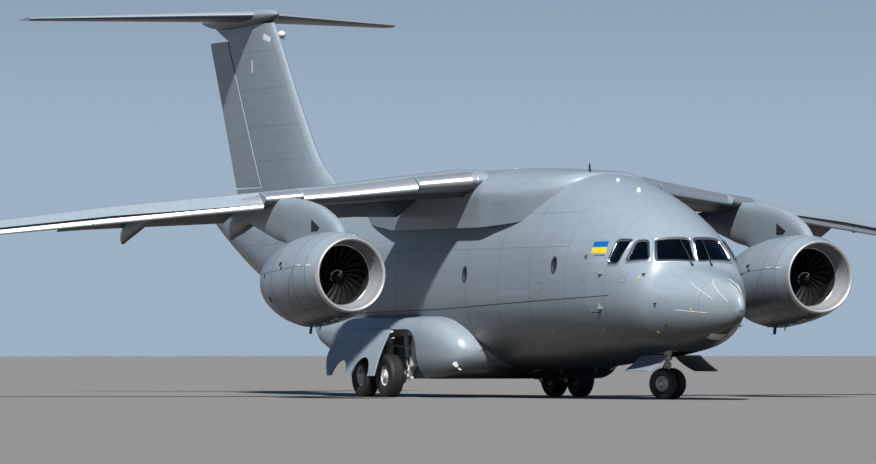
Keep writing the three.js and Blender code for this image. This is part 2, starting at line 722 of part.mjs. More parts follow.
// Wing root fairing, the shoulder that covers the wing's middle over the fuselage.
// Where along X, half width at the shoulder, the shoulder's top and foot heights, and the crown.
const FAIRING = [
  [9500, 500, 5100, 4900, 5300],
  [9000, 1250, 5120, 4500, 5345],
  [8000, 1640, 5130, 4180, 5420],
  [6800, 1850, 5250, 4090, 5465],
  [6100, 1949.7, 5400, 4060, 5490],
  [1300, 1949.7, 5400, 4060, 5480],
  [300, 1850, 5250, 4130, 5460],
  [-1600, 1500, 5120, 4300, 5435],
  [-3600, 700, 5100, 4800, 5370],
];
const FLAT_SIDE = 0.65; // the share of the side that is upright, where the wing butts on it
const fairing = loft(
  FAIRING.map(([x, half, shoulder, foot, crown]) => {
    const upright = foot + (shoulder - foot) * FLAT_SIDE;
    const bend = shoulder + (crown - shoulder) * 0.55;
    const rise = [
      [half * 0.5, foot], [half, foot], [half, upright], [half * 0.99, shoulder - 80],
      [half * 0.86, bend], [half * 0.5, crown - 15],
    ];
    const fall = rise.toReversed().map(([y, z]) => [-y, z]);
    return [...rise, [0, crown], ...fall].map(([y, z]) => [x, y, z]);
  }),
);
add("wing_root_fairing", cut(fairing, clearOfSkin), "grey");

// Tail

// Height, leading edge X, hinge X, trailing edge X, half thickness.
const FIN = [
  [5150, -6300, -11800, -13870, 230],
  [5520, -7340, -12030, -14040, 225],
  [6080, -8280, -12383, -14300, 215],
  [6860, -9030, -12874, -14668, 200],
  [7980, -9980, -13579, -15192, 180],
  [9190, -10940, -14341, -15790, 160],
  [9350, -11080, -14442, -15866, 158],
  [9720, -11400, -14675, -15500, 150],
];
const RUDDER = { low: 5400, high: 9350, front: 95, back: 50, pin: 20, headRise: 850, footGap: 4.2 };
function finForm() {
  return loft(
    FIN.map(([z, lead, , trail, half]) =>
      foil(lead - trail, (2 * half) / (lead - trail), 6).map(([b, out]) => [lead - b, out, z]),
    ),
  );
}
const finAt = (z) => {
  const k = Math.max(0, Math.min(FIN.length - 2, FIN.findIndex((row) => row[0] > z) - 1));
  const t = (z - FIN[k][0]) / (FIN[k + 1][0] - FIN[k][0]);
  return FIN[k].map((v, i) => v + (FIN[k + 1][i] - v) * t);
};
const hingeX = (z) => -12030 - ((z - 5520) * (14442 - 12030)) / (9350 - 5520);
// Over the rudder the fin's underside rises aft, as the rudder's top corner rises while it turns, and its foot
// has a wider gap, because the lower front corners dip.
function rudderSpace(gap) {
  const points = [];
  for (const z of [RUDDER.low + gap * RUDDER.footGap, RUDDER.high - gap])
    for (const y of [-700, 700]) {
      const rise = gap || z === RUDDER.low ? 0 : RUDDER.headRise;
      points.push([hingeX(z) + (gap ? 0 : RUDDER.front), y, z], [-17000, y, z + rise]);
    }
  return hull(points);
}
const finSolid = finForm();
const rudderEnds = [RUDDER.low, RUDDER.high].map((z) => [hingeX(z) - RUDDER.back, 0, z]);
const rudderPins = [
  hingePin(along(...rudderEnds, 0.1), rudderEnds[0], 2, RUDDER.pin),
  hingePin(along(...rudderEnds, 0.9), rudderEnds[1], 2, RUDDER.pin),
];
add("fin", cut(finSolid, rudderSpace(0), clearOfSkin), "grey");
add("rudder", join(finSolid.intersect(rudderSpace(RUNNING)), ...rudderPins), "grey");

// Tailplane on the fin's head, with a pod over the joint.
// Span station, leading edge X, Z, chord, thickness share.
const TAILPLANE = [
  [0, -11950, 9955, 3050, 0.1],
  [1000, -12560, 9945, 2750, 0.1],
  [5100, -15300, 9905, 1160, 0.09],
  [5250, -15560, 9903, 900, 0.08],
];
const BEHIND_TAIL = -17500;
const ELEVATOR = { inner: 420, outer: 4950, front: 48, pin: 10 };
// The hinge line's X at the elevator's two ends.
const HINGE_LINE = { inner: -14150, outer: -16080 };
const elevatorHingeX = (station) =>
  HINGE_LINE.inner +
  ((station - ELEVATOR.inner) * (HINGE_LINE.outer - HINGE_LINE.inner)) / (ELEVATOR.outer - ELEVATOR.inner);
function tailplaneForm(side) {
  return loft(
    TAILPLANE.map(([y, x, z, chord, thick]) =>
      foil(chord, thick, 5).map(([back, up]) => [x - back, y * side, z + up]),
    ),
  );
}
function elevatorSpace(side, gap) {
  const points = [];
  for (const station of [ELEVATOR.inner + gap * 2, ELEVATOR.outer - gap * END_GAP]) {
    const front = elevatorHingeX(station) + (gap ? 0 : ELEVATOR.front);
    for (const z of [9400, 10400]) {
      points.push([front, station * side, z], [BEHIND_TAIL, station * side, z]);
    }
  }
  return hull(points);
}
const POD = [
  [-11150, 30, 9940, 30, 30],
  [-11500, 170, 9940, 130, 170],
  [-12300, 300, 9930, 205, 260],
  [-13400, 330, 9920, 215, 290],
  [-14600, 300, 9915, 190, 270],
  [-15600, 190, 9915, 130, 190],
  [TAIL, 30, 9920, 25, 30],
];
const pod = loft(
  POD.map(([x, half, z, over, under]) => {
    const ring = [];
    for (let i = 0; i < 20; i++) {
      const angle = (2 * Math.PI * i) / 20;
      ring.push([x, half * Math.cos(angle), z + (Math.sin(angle) > 0 ? over : under) * Math.sin(angle)]);
    }
    return ring;
  }),
);
const elevatorGap = SIDES.map(([, side]) => elevatorSpace(side, 0));
const finHead = box([-17000, -1000, 9000], [-10000, 1000, 9720 + TOUCH]);
add("tailplane", cut(join(tailplaneForm(1), tailplaneForm(-1), pod), ...elevatorGap, finHead), "grey");
for (const [name, side] of SIDES) {
  const ends = [ELEVATOR.inner, ELEVATOR.outer].map((station) => [
    elevatorHingeX(station) - HINGE_BACK,
    station * side,
    9953 - (station * 50) / 5250,
  ]);
  const pins = [
    hingePin(along(...ends, 0.1), ends[0], 1, ELEVATOR.pin),
    hingePin(along(...ends, 0.9), ends[1], 1, ELEVATOR.pin),
  ];
  add("elevator_" + name, join(tailplaneForm(side).intersect(elevatorSpace(side, RUNNING)), ...pins), "grey");
}

// Engines

const ENGINE = { y: 6100, z: 2900, lip: 8270, fanRadius: 690 };
// Distance behind the lip, outer radius. The cowl's outside runs on from the lip's.
const COWL_OUT = [
  [170, 905], [450, 985], [900, 1045], [1500, 1080], [2200, 1085], [2900, 1005], [3400, 885], [3740, 790],
];
const COWL_IN = [[3740, 765], [3300, 762], [2600, 740], [1800, 716], [1500, 706], [700, 706], [170, 768]];
const LIP = [[170, 768], [70, 786], [15, 810], [0, 838], [30, 870], [90, 888], [170, 905]];
const CORE = [
  [1150, 0], [1150, 250], [1300, 400], [2300, 470], [3000, 430], [3500, 330], [3500, 270], [3490, 250],
  [3880, 40], [3880, 0],
];
const HUB = [
  [640, 0], [700, 60], [800, 130], [1000, 205], [1140, 230], [1140, 70], [1150 - TOUCH, 70], [1150 - TOUCH, 0],
];
const VANES = { count: 8, front: 1450, back: 1650, half: 12, from: 300, to: 730 };
const BLADES = 18;
const BLADE_AT = 940; // the blades' middle behind the lip
const alongX = (profile) => profile.map(([b, r]) => [r, -b]);
const engineSides = 32;
// The pylon's side, as X and Z round it.
const PYLON_HALF = 170;
const PYLON = [
  [8000, 3600], [7700, 3960], [7400, 4190], [6400, 4540], [5200, 4720], [4200, 4760], [3500, 4760],
  [2300, 4650], [2300, 4130], [3900, 3750], [4500, 3650], [4850, 3400], [6000, 3300], [7700, 3300],
];
// The cowl droops behind the intake, and the duct in it further back. Depth, and where each starts and ends.
const SAG = 150;
const SAG_OUTSIDE = [250, 2800];
const SAG_INSIDE = [1800, 3700];
const sagging = (piece, [from, to]) =>
  piece.warp((point) => {
    const share = Math.min(Math.max((ENGINE.lip - point[0] - from) / (to - from), 0), 1);
    point[2] -= SAG * share * share * (3 - 2 * share);
  });
for (const [name, side] of SIDES) {
  const at = [ENGINE.lip, ENGINE.y * side, ENGINE.z];
  const spun = (profile, sides = engineSides) => turned(alongX(profile), [1, 0, 0], at, sides);
  const lipBack = 170 + TOUCH;
  const outside = COWL_OUT.map(([b, r]) => [Math.max(b, lipBack), r]);
  const cowlBack = COWL_OUT.at(-1)[0];
  const duct = [[100, 0], [100, 768], ...COWL_IN.toReversed(), [cowlBack + 100, 765], [cowlBack + 100, 0]];
  const cowlBlock = sagging(spun([[lipBack, 0], ...outside, [cowlBack, 0]]), SAG_OUTSIDE);
  add("cowl_" + name, cut(cowlBlock, sagging(spun(duct), SAG_INSIDE)), "grey");
  add("intake_lip_" + name, spun([...LIP, LIP[0]]), "bareMetal");

  // Core: one plain block of the engine's size in its shroud, with the vanes that hold it in the cowl.
  const core = spun(CORE, 24);
  const vanes = [];
  for (let k = 0; k < VANES.count; k++) {
    const vane = box(
      [ENGINE.lip - VANES.back, -VANES.half, VANES.from],
      [ENGINE.lip - VANES.front, VANES.half, VANES.to],
    );
    vanes.push(vane.rotate([(360 * (k + 0.5)) / VANES.count, 0, 0]).translate([0, at[1], at[2]]));
  }
  const ductSpace = spun([[-10, 0], [-10, 706 - TOUCH], [1500, 706 - TOUCH], [1800, 716 - TOUCH], [1800, 0]]);
  add("engine_core_" + name, join(core, ...vanes).intersect(join(ductSpace, core)), "darkMetal");

  // Fan: a pointed hub with twisted blades.
  const blades = [];
  const tip = ENGINE.fanRadius;
  for (let k = 0; k < BLADES; k++) {
    const blade = hull([
      [40, -8, 150], [40, 8, 150], [-60, -48, 150], [-60, -32, 150],
      [50, 40, tip], [50, 50, tip], [-50, -50, tip], [-50, -40, tip],
    ]).rotate([(360 * k) / BLADES, 0, 0]);
    blades.push(blade.translate([ENGINE.lip - BLADE_AT, at[1], at[2]]));
  }
  add("fan_" + name, join(spun(HUB, 20), ...blades), "darkMetal");

  // Pylon, from the cowl's back up and round the wing's leading edge.
  const raw = slabXZ(PYLON, (ENGINE.y - PYLON_HALF) * side, (ENGINE.y + PYLON_HALF) * side);
  const grown = COWL_OUT.map(([b, r]) => [b, r + TOUCH]);
  const cowlForm = sagging(
    spun([[-50, 0], [-50, 840], [0, 845], ...grown, [cowlBack + 10, 790], [cowlBack + 10, 0]]),
    SAG_OUTSIDE,
  );
  const belowPylon = box([3000, at[1] - 1200, 2000], [8300, at[1] + 1200, 3200]);
  const pylon = cut(raw, wingForm(side, 0.6), cowlForm, belowPylon);
  add("pylon_" + name, pylon.decompose().sort((a, b) => b.volume() - a.volume())[0], "grey");
}

// Sponsons, which hold the main gear on the lower sides and run on under the belly.
// Where along X, outer half width, top, bottom, inner edge.
const SPONSON = [
  [5420, 1900, 1250, 950, 1000],
  [5330, 2080, 1400, 760, 400],
  [5150, 2230, 1560, 620, 0],
  [4800, 2370, 1750, 520, 0],
  [4300, 2470, 1880, 460, 0],
  [3700, 2520, 1930, 450, 0],
  [-100, 2520, 1930, 450, 0],
  [-700, 2515, 1930, 690, 0],
  [-2500, 2430, 1910, 1250, 0],
  [-2700, 2390, 1905, 1330, 1480],
  [-3600, 2080, 1890, 1740, 1480],
  [-4200, 1780, 1870, 1810, 1480],
];
const MAIN = { xs: [2230, 720], y: 2540, radius: 520, width: 370, rim: 250, axle: 60.2 };
const WELL = { front: 3450, back: -50, inner: 1800, outer: 3200, bend: 1250, roof: 1640 };
function sponsonForm(side) {
  return loft(
    SPONSON.map(([x, out, top, bottom, inner]) =>
      [
        [Math.max(inner, TOUCH), bottom], [out - 420, bottom], [out - 130, bottom + 130],
        [out, (top + bottom) / 2 - 60], [out - 40, top - 300], [out - 250, top], [1300, top + 100],
        [Math.max(inner, TOUCH), top],
      ].map(([y, z]) => [x, y * side, z]),
    ),
  );
}
// The well's space: square below the bend, and narrower above it.
function wellSpace(side) {
  const [low, high] = side > 0 ? [WELL.inner, WELL.outer] : [-WELL.outer, -WELL.inner];
  const corners = [];
  for (const y of [low, high]) {
    corners.push([WELL.back, y, WELL.bend - 1], [WELL.front, y, WELL.bend - 1]);
    corners.push([WELL.back + 300, y, WELL.roof], [WELL.front - 500, y, WELL.roof]);
  }
  return join(box([WELL.back, low, 100], [WELL.front, high, WELL.bend]), hull(corners));
}
const DOOR_HINGE = [2530, 1640]; // the big door's top edge, Y and Z
const DOOR_FOOT = [3060, 520];
const DOOR_THICK = 40;
// Heights down the big door, with where its rear edge is.
const REAR_EDGE = [
  [1640, 250], [1555, -390], [1450, -740], [1280, -810], [1080, -850], [800, -690], [520, -400],
];
// The arches over the wheels: X, Z and radius.
const ARCHES = [[1580, 420, 550], [260, 450, 450]];
for (const [name, side] of SIDES) {
  add("sponson_" + name, cut(sponsonForm(side), clearOfSkin, wellSpace(side)), "grey");

  // Two struts on one side, on a beam under the well's roof, with an axle each.
  const strutY = 2010 * side;
  const beamBack = [WELL.back + 320, strutY - 90, WELL.roof - 160];
  const beamFront = [WELL.front - 520, strutY + 90, WELL.roof - TOUCH];
  const pieces = [box(beamBack, beamFront)];
  for (const x of MAIN.xs) {
    const axle = [[x, strutY - 60 * side, MAIN.radius], [x, 2720 * side, MAIN.radius]];
    pieces.push(bar([x + 330, strutY, WELL.roof - 100], [x + 250, strutY, 760], 85));
    pieces.push(bar([x + 250, strutY, 800], [x, strutY, MAIN.radius], 70));
    pieces.push(bar(...axle, MAIN.axle, MAIN.axle, 16));
    pieces.push(bar([x - 60, strutY, 620], [x - 250, strutY, WELL.roof - 100], 45));
  }
  add("main_legs_" + name, join(...pieces), "legs");

  MAIN.xs.forEach((x, i) => {
    const label = name + "_" + ["front", "rear"][i];
    const at = [x, MAIN.y * side, MAIN.radius];
    const half = MAIN.width / 2;
    const { radius, rim } = MAIN;
    const tyre = [
      [rim + TOUCH, -half + 60], [rim + 110, -half], [radius - 70, -half + 25], [radius - 10, -half + 80],
      [radius, -half + 125], [radius, half - 125], [radius - 10, half - 80], [radius - 70, half - 25],
      [rim + 110, half], [rim + TOUCH, half - 60],
    ];
    add("main_tyre_" + label, wheelShape(tyre, at), "tyre");
    const bore = MAIN.axle + TOUCH;
    const hub = [
      [bore, -60], [110, -60], [205, -half + 70], [rim, -half + 55], [rim, half - 55], [205, half - 70],
      [110, 80], [bore, 80],
    ];
    add("main_rim_" + label, wheelShape(hub, at), "legs");
  });

  // The big door that hangs outboard of the wheels, arched over each of them.
  const leaf = loft(
    REAR_EDGE.map(([z, rear]) => {
      const share = (DOOR_HINGE[1] - z) / (DOOR_HINGE[1] - DOOR_FOOT[1]);
      const y = DOOR_HINGE[0] + (DOOR_FOOT[0] - DOOR_HINGE[0]) * share;
      const front = 2300 + 190 * share;
      const outer = (y + DOOR_THICK) * side;
      return [[front, y * side, z], [rear, y * side, z], [rear, outer, z], [front, outer, z]];
    }),
  );
  const arches = ARCHES.map(([x, z, radius]) =>
    bar([x, 2000 * side, z], [x, 3600 * side, z], radius, radius, 18),
  );
  const arms = [2150, 450].map((x) => {
    const points = [];
    for (const at of [x - 30, x + 30]) {
      points.push([at, 2370 * side, WELL.roof - TOUCH], [at, 2450 * side, WELL.roof - TOUCH]);
      points.push([at, 2550 * side, 1630], [at, 2560 * side, 1530]);
    }
    return hull(points);
  });
  add("main_gear_door_" + name, join(cut(leaf, ...arches), ...arms), "grey");
}

// Nose gear: a fixed strut, and the part that steers, parked turned a little to port.
const NOSE_GEAR = { x: 12560, radius: 365, width: 200, spread: 185, rim: 175, axle: 40.2, turned: 30 };
const AXLE_REACH = 290; // half the nose axle's length
add(
  "nose_strut",
  join(
    bar([NOSE_GEAR.x, 0, NOSE_WELL.roof - TOUCH], [NOSE_GEAR.x, 0, 900], 80),
    bar([NOSE_GEAR.x - 20, 0, 1250], [12000, 0, 1700], 45),
    box([NOSE_GEAR.x - 90, -NOSE_WELL.half + TOUCH, 1500], [NOSE_GEAR.x + 90, NOSE_WELL.half - TOUCH, 1620]),
  ),
  "legs",
);
const steerTurn = (piece) =>
  piece
    .translate([-NOSE_GEAR.x, 0, 0])
    .rotate([0, 0, NOSE_GEAR.turned])
    .translate([NOSE_GEAR.x, 0, 0]);
add(
  "nose_fork",
  steerTurn(
    join(
      bar([NOSE_GEAR.x, 0, 900 - TOUCH], [NOSE_GEAR.x, 0, 420], 65),
      box([NOSE_GEAR.x - 60, -70, 300], [NOSE_GEAR.x + 60, 70, 460]),
      bar(
        [NOSE_GEAR.x, -AXLE_REACH, NOSE_GEAR.radius],
        [NOSE_GEAR.x, AXLE_REACH, NOSE_GEAR.radius],
        NOSE_GEAR.axle,
        NOSE_GEAR.axle,
        16,
      ),
    ),
  ),
  "legs",
);
for (const [name, side] of SIDES) {
  const at = [NOSE_GEAR.x, NOSE_GEAR.spread * side, NOSE_GEAR.radius];
  const { radius, rim, width } = NOSE_GEAR;
  const half = width / 2;
  const tyre = [
    [rim + TOUCH, -half + 35], [rim + 70, -half], [radius - 45, -half + 15], [radius - 6, -half + 45],
    [radius, -half + 70], [radius, half - 70], [radius - 6, half - 45], [radius - 45, half - 15],
    [rim + 70, half], [rim + TOUCH, half - 35],
  ];
  add("nose_tyre_" + name, steerTurn(wheelShape(tyre, at)), "tyre");
  const bore = NOSE_GEAR.axle + TOUCH;
  const hub = [
    [bore, -60], [80, -60], [140, -half + 40], [rim, -half + 30], [rim, half - 30], [140, half - 40],
    [80, 60], [bore, 60],
  ];
  add("nose_rim_" + name, steerTurn(wheelShape(hub, at)), "legs");

  const inner = (NOSE_WELL.half - 10) * side;
  const outer = (NOSE_WELL.half + 480) * side;
  const leaf = [];
  for (const x of [13450, 12050]) {
    for (const [y, z] of [[inner, 1000], [outer, 650]]) leaf.push([x, y, z], [x, y, z + 30]);
  }
  add("nose_gear_door_" + name, cut(hull(leaf), clearOfSkin), "grey");
}

export default plane;
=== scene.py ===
# %% [markdown]
# # A military transport plane, dressed for its portrait
# The solids of the aircraft come in as a fixed frame. They have flat facets, so most of the skin is
# modelled again here, smooth, from the same tables of sections, and each new piece stands for the solid
# that it covers.

# %% Loading the frame
import math
import bpy
import numpy as np
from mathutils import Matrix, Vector


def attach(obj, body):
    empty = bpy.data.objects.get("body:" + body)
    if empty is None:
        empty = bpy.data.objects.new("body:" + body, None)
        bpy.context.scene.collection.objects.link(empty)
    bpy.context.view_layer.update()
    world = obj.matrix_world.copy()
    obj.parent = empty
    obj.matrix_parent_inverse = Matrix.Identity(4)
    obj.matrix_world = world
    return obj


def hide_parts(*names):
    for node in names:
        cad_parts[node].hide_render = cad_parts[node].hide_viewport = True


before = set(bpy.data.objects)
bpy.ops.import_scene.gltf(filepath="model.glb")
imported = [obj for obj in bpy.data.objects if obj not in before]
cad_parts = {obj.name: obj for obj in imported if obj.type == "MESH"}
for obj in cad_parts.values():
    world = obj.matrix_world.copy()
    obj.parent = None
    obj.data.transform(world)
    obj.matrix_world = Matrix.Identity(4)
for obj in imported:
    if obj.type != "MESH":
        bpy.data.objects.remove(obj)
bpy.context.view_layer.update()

# %% [markdown]
# Every operator works on what is selected, and the frame comes in with all its nodes selected. So each step
# starts by letting go of everything and picking up one piece. Modifiers are applied at once, so that a
# piece is plain mesh.

# %% Helpers for picking up and working a piece
SIDES = (("port", 1), ("starboard", -1))
MERGE_DISTANCE = 2e-5


def take(*pieces):
    bpy.ops.object.select_all(action="DESELECT")
    for piece in pieces:
        piece.select_set(True)
    bpy.context.view_layer.objects.active = pieces[0]
    return pieces[0]


def edit(piece, *steps):
    """Runs edit mode operators, each a function, on the whole of a piece."""
    take(piece)
    bpy.ops.object.mode_set(mode="EDIT")
    for step in steps:
        bpy.ops.mesh.select_all(action="SELECT")
        step()
    bpy.ops.object.mode_set(mode="OBJECT")
    return piece


def modified(piece, kind, **settings):
    take(piece)
    bpy.ops.object.modifier_add(type=kind)
    for key, value in settings.items():
        setattr(piece.modifiers[-1], key, value)
    bpy.ops.object.modifier_apply(modifier=piece.modifiers[-1].name)
    return piece


def joined(name, *pieces):
    take(*pieces)
    if len(pieces) > 1:
        bpy.ops.object.join()
    pieces[0].name = name
    return pieces[0]


def boolean(piece, tool, operation="DIFFERENCE", solver="EXACT"):
    """Cuts a piece with a tool, or keeps what both share, and throws the tool away."""
    modified(piece, "BOOLEAN", operation=operation, solver=solver, object=tool)
    bpy.data.objects.remove(tool)
    return piece


def copied(piece, name):
    twin = piece.copy()
    twin.data = piece.data.copy()
    twin.name = name
    bpy.context.collection.objects.link(twin)
    return twin


def tidy_mesh():
    """Closes seams and poles, and turns every face outwards."""
    bpy.ops.mesh.remove_doubles(threshold=MERGE_DISTANCE)
    bpy.ops.mesh.select_all(action="SELECT")
    bpy.ops.mesh.normals_make_consistent(inside=False)


print("helpers for", len(SIDES), "sides")

# %% [markdown]
# A sheet of squares, the grid primitive, is the start of every curved skin: its rows are stations along the
# piece and its columns run round the section. Laid on a table of points and merged at the seam, it is a
# closed, smooth body. Drawing such a skin face by face would give the same form and far more work.

# %% Helpers that make a form
def circle(count):
    """Angles all the way round."""
    return np.linspace(0, 2 * math.pi, count, endpoint=False)


def bulged(value, power):
    """A sine or cosine raised to a power that squares its curve, with the sign kept."""
    return np.sign(value) * np.abs(value) ** power


def lay(name, points, cap=True):
    """Lays a grid on a table of points. Its columns close round, and cap closes its ends to a point."""
    table = np.asarray(points, float)
    if cap:
        ends = [np.repeat(table[i].mean(axis=0)[None], table.shape[1], axis=0)[None] for i in (0, -1)]
        table = np.concatenate([ends[0], table, ends[1]])
    table = np.concatenate([table, table[:, :1]], axis=1)
    rows, columns = table.shape[:2]
    bpy.ops.object.select_all(action="DESELECT")
    bpy.ops.mesh.primitive_grid_add(x_subdivisions=columns - 1, y_subdivisions=rows - 1)
    piece = bpy.context.object
    piece.name = name
    piece.data.vertices.foreach_set("co", table.astype(np.float32).ravel())
    return edit(piece, tidy_mesh)


def frame_of(axis):
    """Two directions square to an axis."""
    a = Vector(axis).normalized()
    u = a.cross((0, 0, 1) if abs(a.z) < 0.9 else (1, 0, 0)).normalized()
    return a, u, a.cross(u)


def rings(profile, centre, axis, sides):
    """Rings of points for a turned form: profile pairs (radius, distance along the axis)."""
    a, u, v = frame_of(axis)
    turn = circle(sides)
    around = np.outer(np.cos(turn), u) + np.outer(np.sin(turn), v)
    return [np.array(centre) + np.array(a) * along + around * radius for radius, along in profile]


def rod(name, start, end, radius, end_radius=None, sides=20, soft=0.12):
    """A round bar with softened rims."""
    end_radius = radius if end_radius is None else end_radius
    length = (Vector(end) - Vector(start)).length
    rim = min(radius, end_radius) * soft
    profile = [(radius - rim, 0), (radius, rim), (end_radius, length - rim), (end_radius - rim, length)]
    return lay(name, rings(profile, start, Vector(end) - Vector(start), sides))


def spun(name, profile, centre, axis, sides):
    """A closed profile of (radius, along) pairs, drawn by extruding one vertex, then spun round the axis."""
    a, u, _ = frame_of(axis)
    places = [Vector(centre) + a * along + u * radius for radius, along in profile]
    bpy.ops.object.select_all(action="DESELECT")
    bpy.ops.mesh.primitive_plane_add(size=0.01)
    piece = bpy.context.object
    piece.name = name
    bpy.ops.object.mode_set(mode="EDIT")
    bpy.ops.mesh.select_all(action="SELECT")
    bpy.ops.mesh.merge(type="CENTER")
    bpy.ops.transform.translate(value=places[0])
    for here, there in zip(places, places[1:]):
        bpy.ops.mesh.extrude_region_move(TRANSFORM_OT_translate={"value": there - here})
    bpy.ops.object.mode_set(mode="OBJECT")
    turn = {"steps": sides, "angle": 2 * math.pi, "center": centre, "axis": a}
    return edit(piece, lambda: bpy.ops.mesh.spin(**turn), tidy_mesh)


def block_of(name, corners):
    """A cube primitive moved to eight corners, low and high in X, then in Y, then in Z."""
    bpy.ops.object.select_all(action="DESELECT")
    bpy.ops.mesh.primitive_cube_add(size=1)
    piece = bpy.context.object
    piece.name = name
    piece.data.vertices.foreach_set("co", np.array(corners, np.float32).ravel())
    return edit(piece, lambda: bpy.ops.mesh.normals_make_consistent(inside=False))


def block(name, low, high, soft=0.0):
    """A box between two corners, with its edges rounded."""
    xs, ys, zs = zip(low, high)
    piece = block_of(name, [(x, y, z) for x in xs for y in ys for z in zs])
    if soft:
        edit(piece, lambda: bpy.ops.mesh.bevel(offset=soft, segments=3, affect="EDGES"))
    return piece


print("forms: grid, rod, spun profile and block")

# %% [markdown]
# A finished piece needs three things: shading that is smooth over its curves and sharp at its edges, a
# material, and the body that it moves with. Most pieces are painted and belong to the airframe, so those
# are what the helper expects.

# %% Finishing a piece
MADE = []


def placed(piece, look, slot="grey_paint", body="airframe", replaces=(), angle=32):
    """Smooths a piece, gives it its material and sets it on its body, for the solids that it stands for."""
    take(piece)
    bpy.ops.object.shade_smooth_by_angle(angle=math.radians(angle))
    piece.data.materials.clear()
    piece.data.materials.append(look)
    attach(piece, body)
    if replaces:
        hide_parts(*replaces)
    MADE.append(piece)
    print(piece.name, len(piece.data.polygons), "faces on", body)
    return piece


# %% [markdown]
# The body's sections are a table: station, half width, top, bottom and the height of the widest point.
# Between the stations the values run on a curve that never overshoots, so the nose swells without ripples.
# Each section is a little squarer than an ellipse.

# %% The table of the body
FUSELAGE = [
    (16.475, .04, 2.15, 2.05, 2.062), (16.4, .112, 2.34, 1.885, 2.065), (16.2, .2, 2.5, 1.73, 2.071),
    (15.9, .335, 2.623, 1.62, 2.078), (15.4, .57, 2.781, 1.471, 2.109), (14.8, .873, 2.948, 1.328, 2.156),
    (14.15, 1.203, 3.132, 1.188, 2.24), (13.85, 1.372, 3.634, 1.129, 2.293),
    (13.2, 1.593, 4.098, 1.055, 2.389),
    (12.4, 1.743, 4.489, .978, 2.422), (11.4, 1.842, 4.861, .915, 2.448), (10.2, 1.928, 5.171, .824, 2.491),
    (9, 1.952, 5.33, .745, 2.49), (7.5, 1.951, 5.394, .702, 2.491), (4, 1.95, 5.43, .66, 2.5),
    (-1.5, 1.95, 5.4, .68, 2.52), (-3, 1.935, 5.36, .86, 2.65), (-4.5, 1.885, 5.33, 1.21, 2.85),
    (-6.5, 1.76, 5.3, 1.76, 3.18), (-8.5, 1.54, 5.28, 2.34, 3.58), (-10.5, 1.24, 5.25, 2.93, 3.98),
    (-12.5, .86, 5.22, 3.56, 4.37), (-14.3, .48, 5.16, 4.19, 4.69), (-15.4, .23, 5.06, 4.64, 4.85),
]
SECTION_POWER, SECTION_POINTS = 2.15, 144
RADOME_JOINT, COCKPIT_JOINT, AFT_JOINT, CONE_JOINT = 15.4, 10.9, -2.9, -10.6
WALL = .11


def curve(rows):
    """A function of the first column that gives the others on a smooth line that never overshoots."""
    data = np.array(sorted(rows), float)
    x, y = data[:, 0], data[:, 1:]
    slope = np.diff(y, axis=0) / np.diff(x)[:, None]
    product = slope[:-1] * slope[1:]
    inner = np.where(product > 0, 2 * product / np.where(product > 0, slope[:-1] + slope[1:], 1), 0)
    m = np.concatenate([slope[:1], inner, slope[-1:]])

    def at(value):
        value = np.clip(np.atleast_1d(np.asarray(value, float)), x[0], x[-1])
        k = np.clip(np.searchsorted(x, value, side="right") - 1, 0, len(x) - 2)
        h = (x[k + 1] - x[k])[:, None]
        t = (value - x[k])[:, None] / h
        start, end = (1 + 2 * t) * (1 - t) ** 2, t * t * (3 - 2 * t)
        return start * y[k] + end * y[k + 1] + h * (t * (1 - t) ** 2 * m[k] + t * t * (t - 1) * m[k + 1])

    return at


body_at = curve(FUSELAGE)


def section(x, inset=0.0):
    """A ring of points round the body at a station, from the belly's middle line round to port."""
    half, top, bottom, widest = body_at(x)[0]
    turn = np.linspace(-math.pi / 2, 1.5 * math.pi, SECTION_POINTS, endpoint=False)
    c, s = np.cos(turn), np.sin(turn)
    rise = np.where(s > 0, top - widest, widest - bottom) - inset
    y = (half - inset) * bulged(c, 2 / SECTION_POWER)
    z = widest + rise * bulged(s, 2 / SECTION_POWER)
    return np.stack([np.full(SECTION_POINTS, x), y, z], axis=1)


def skin_half(x, z):
    """The body's half width at a station and height."""
    half, top, bottom, widest = body_at(x)[0]
    share = (z - widest) / (top - widest) if z > widest else (widest - z) / (widest - bottom)
    return half * max(0.0, 1 - min(1, share) ** SECTION_POWER) ** (1 / SECTION_POWER)


def outside(points):
    """Above 0 where a point lies outside the body."""
    half, top, bottom, widest = body_at(points[:, 0]).T
    rise = np.where(points[:, 2] > widest, top - widest, widest - bottom)
    across, up = np.abs(points[:, 1]) / half, np.abs(points[:, 2] - widest) / rise
    return across ** SECTION_POWER + up ** SECTION_POWER - 1


REACH, HALVINGS = .4, 28


def onto_skin(points, normal):
    """Points slid along a direction until they lie on the body, found by halving the reach."""
    points, normal = np.asarray(points, float), np.asarray(normal, float)
    low, high = np.full(len(points), -REACH), np.full(len(points), REACH)
    for _ in range(HALVINGS):
        middle = (low + high) / 2
        out = outside(points + middle[:, None] * normal) > 0
        high, low = np.where(out, middle, high), np.where(out, low, middle)
    return points + low[:, None] * normal


print("body", round(FUSELAGE[0][0] - FUSELAGE[-1][0], 2), "m long")

# %% [markdown]
# The camera stands far off with a long lens, near the ground and a little to starboard of the nose, as the
# photographer did. The floor is grey. One broad lamp stands high ahead of the nose, a little to starboard,
# so the wing and the tailplane throw shadows on the body, and soft light comes from all round.

# %% Camera, floor and light
CAMERA_PLACE = (160.255, -70.309, 1.1)
CAMERA_WAY = (-.91636, .40035, math.tan(math.radians(.969)))
LENS_LENGTH, SENSOR_WIDTH = 291.2, 36
FLOOR_SIZE = 3000
SUN_WAY, SUN_STRENGTH, SUN_BREADTH, SUN_COLOUR = (-.95, .5, -1), 5.3, math.radians(3.5), (1, .975, .94)


def turned_to(way):
    """The turn that points a camera or a lamp along a direction."""
    return Vector(way).to_track_quat("-Z", "Y").to_euler()


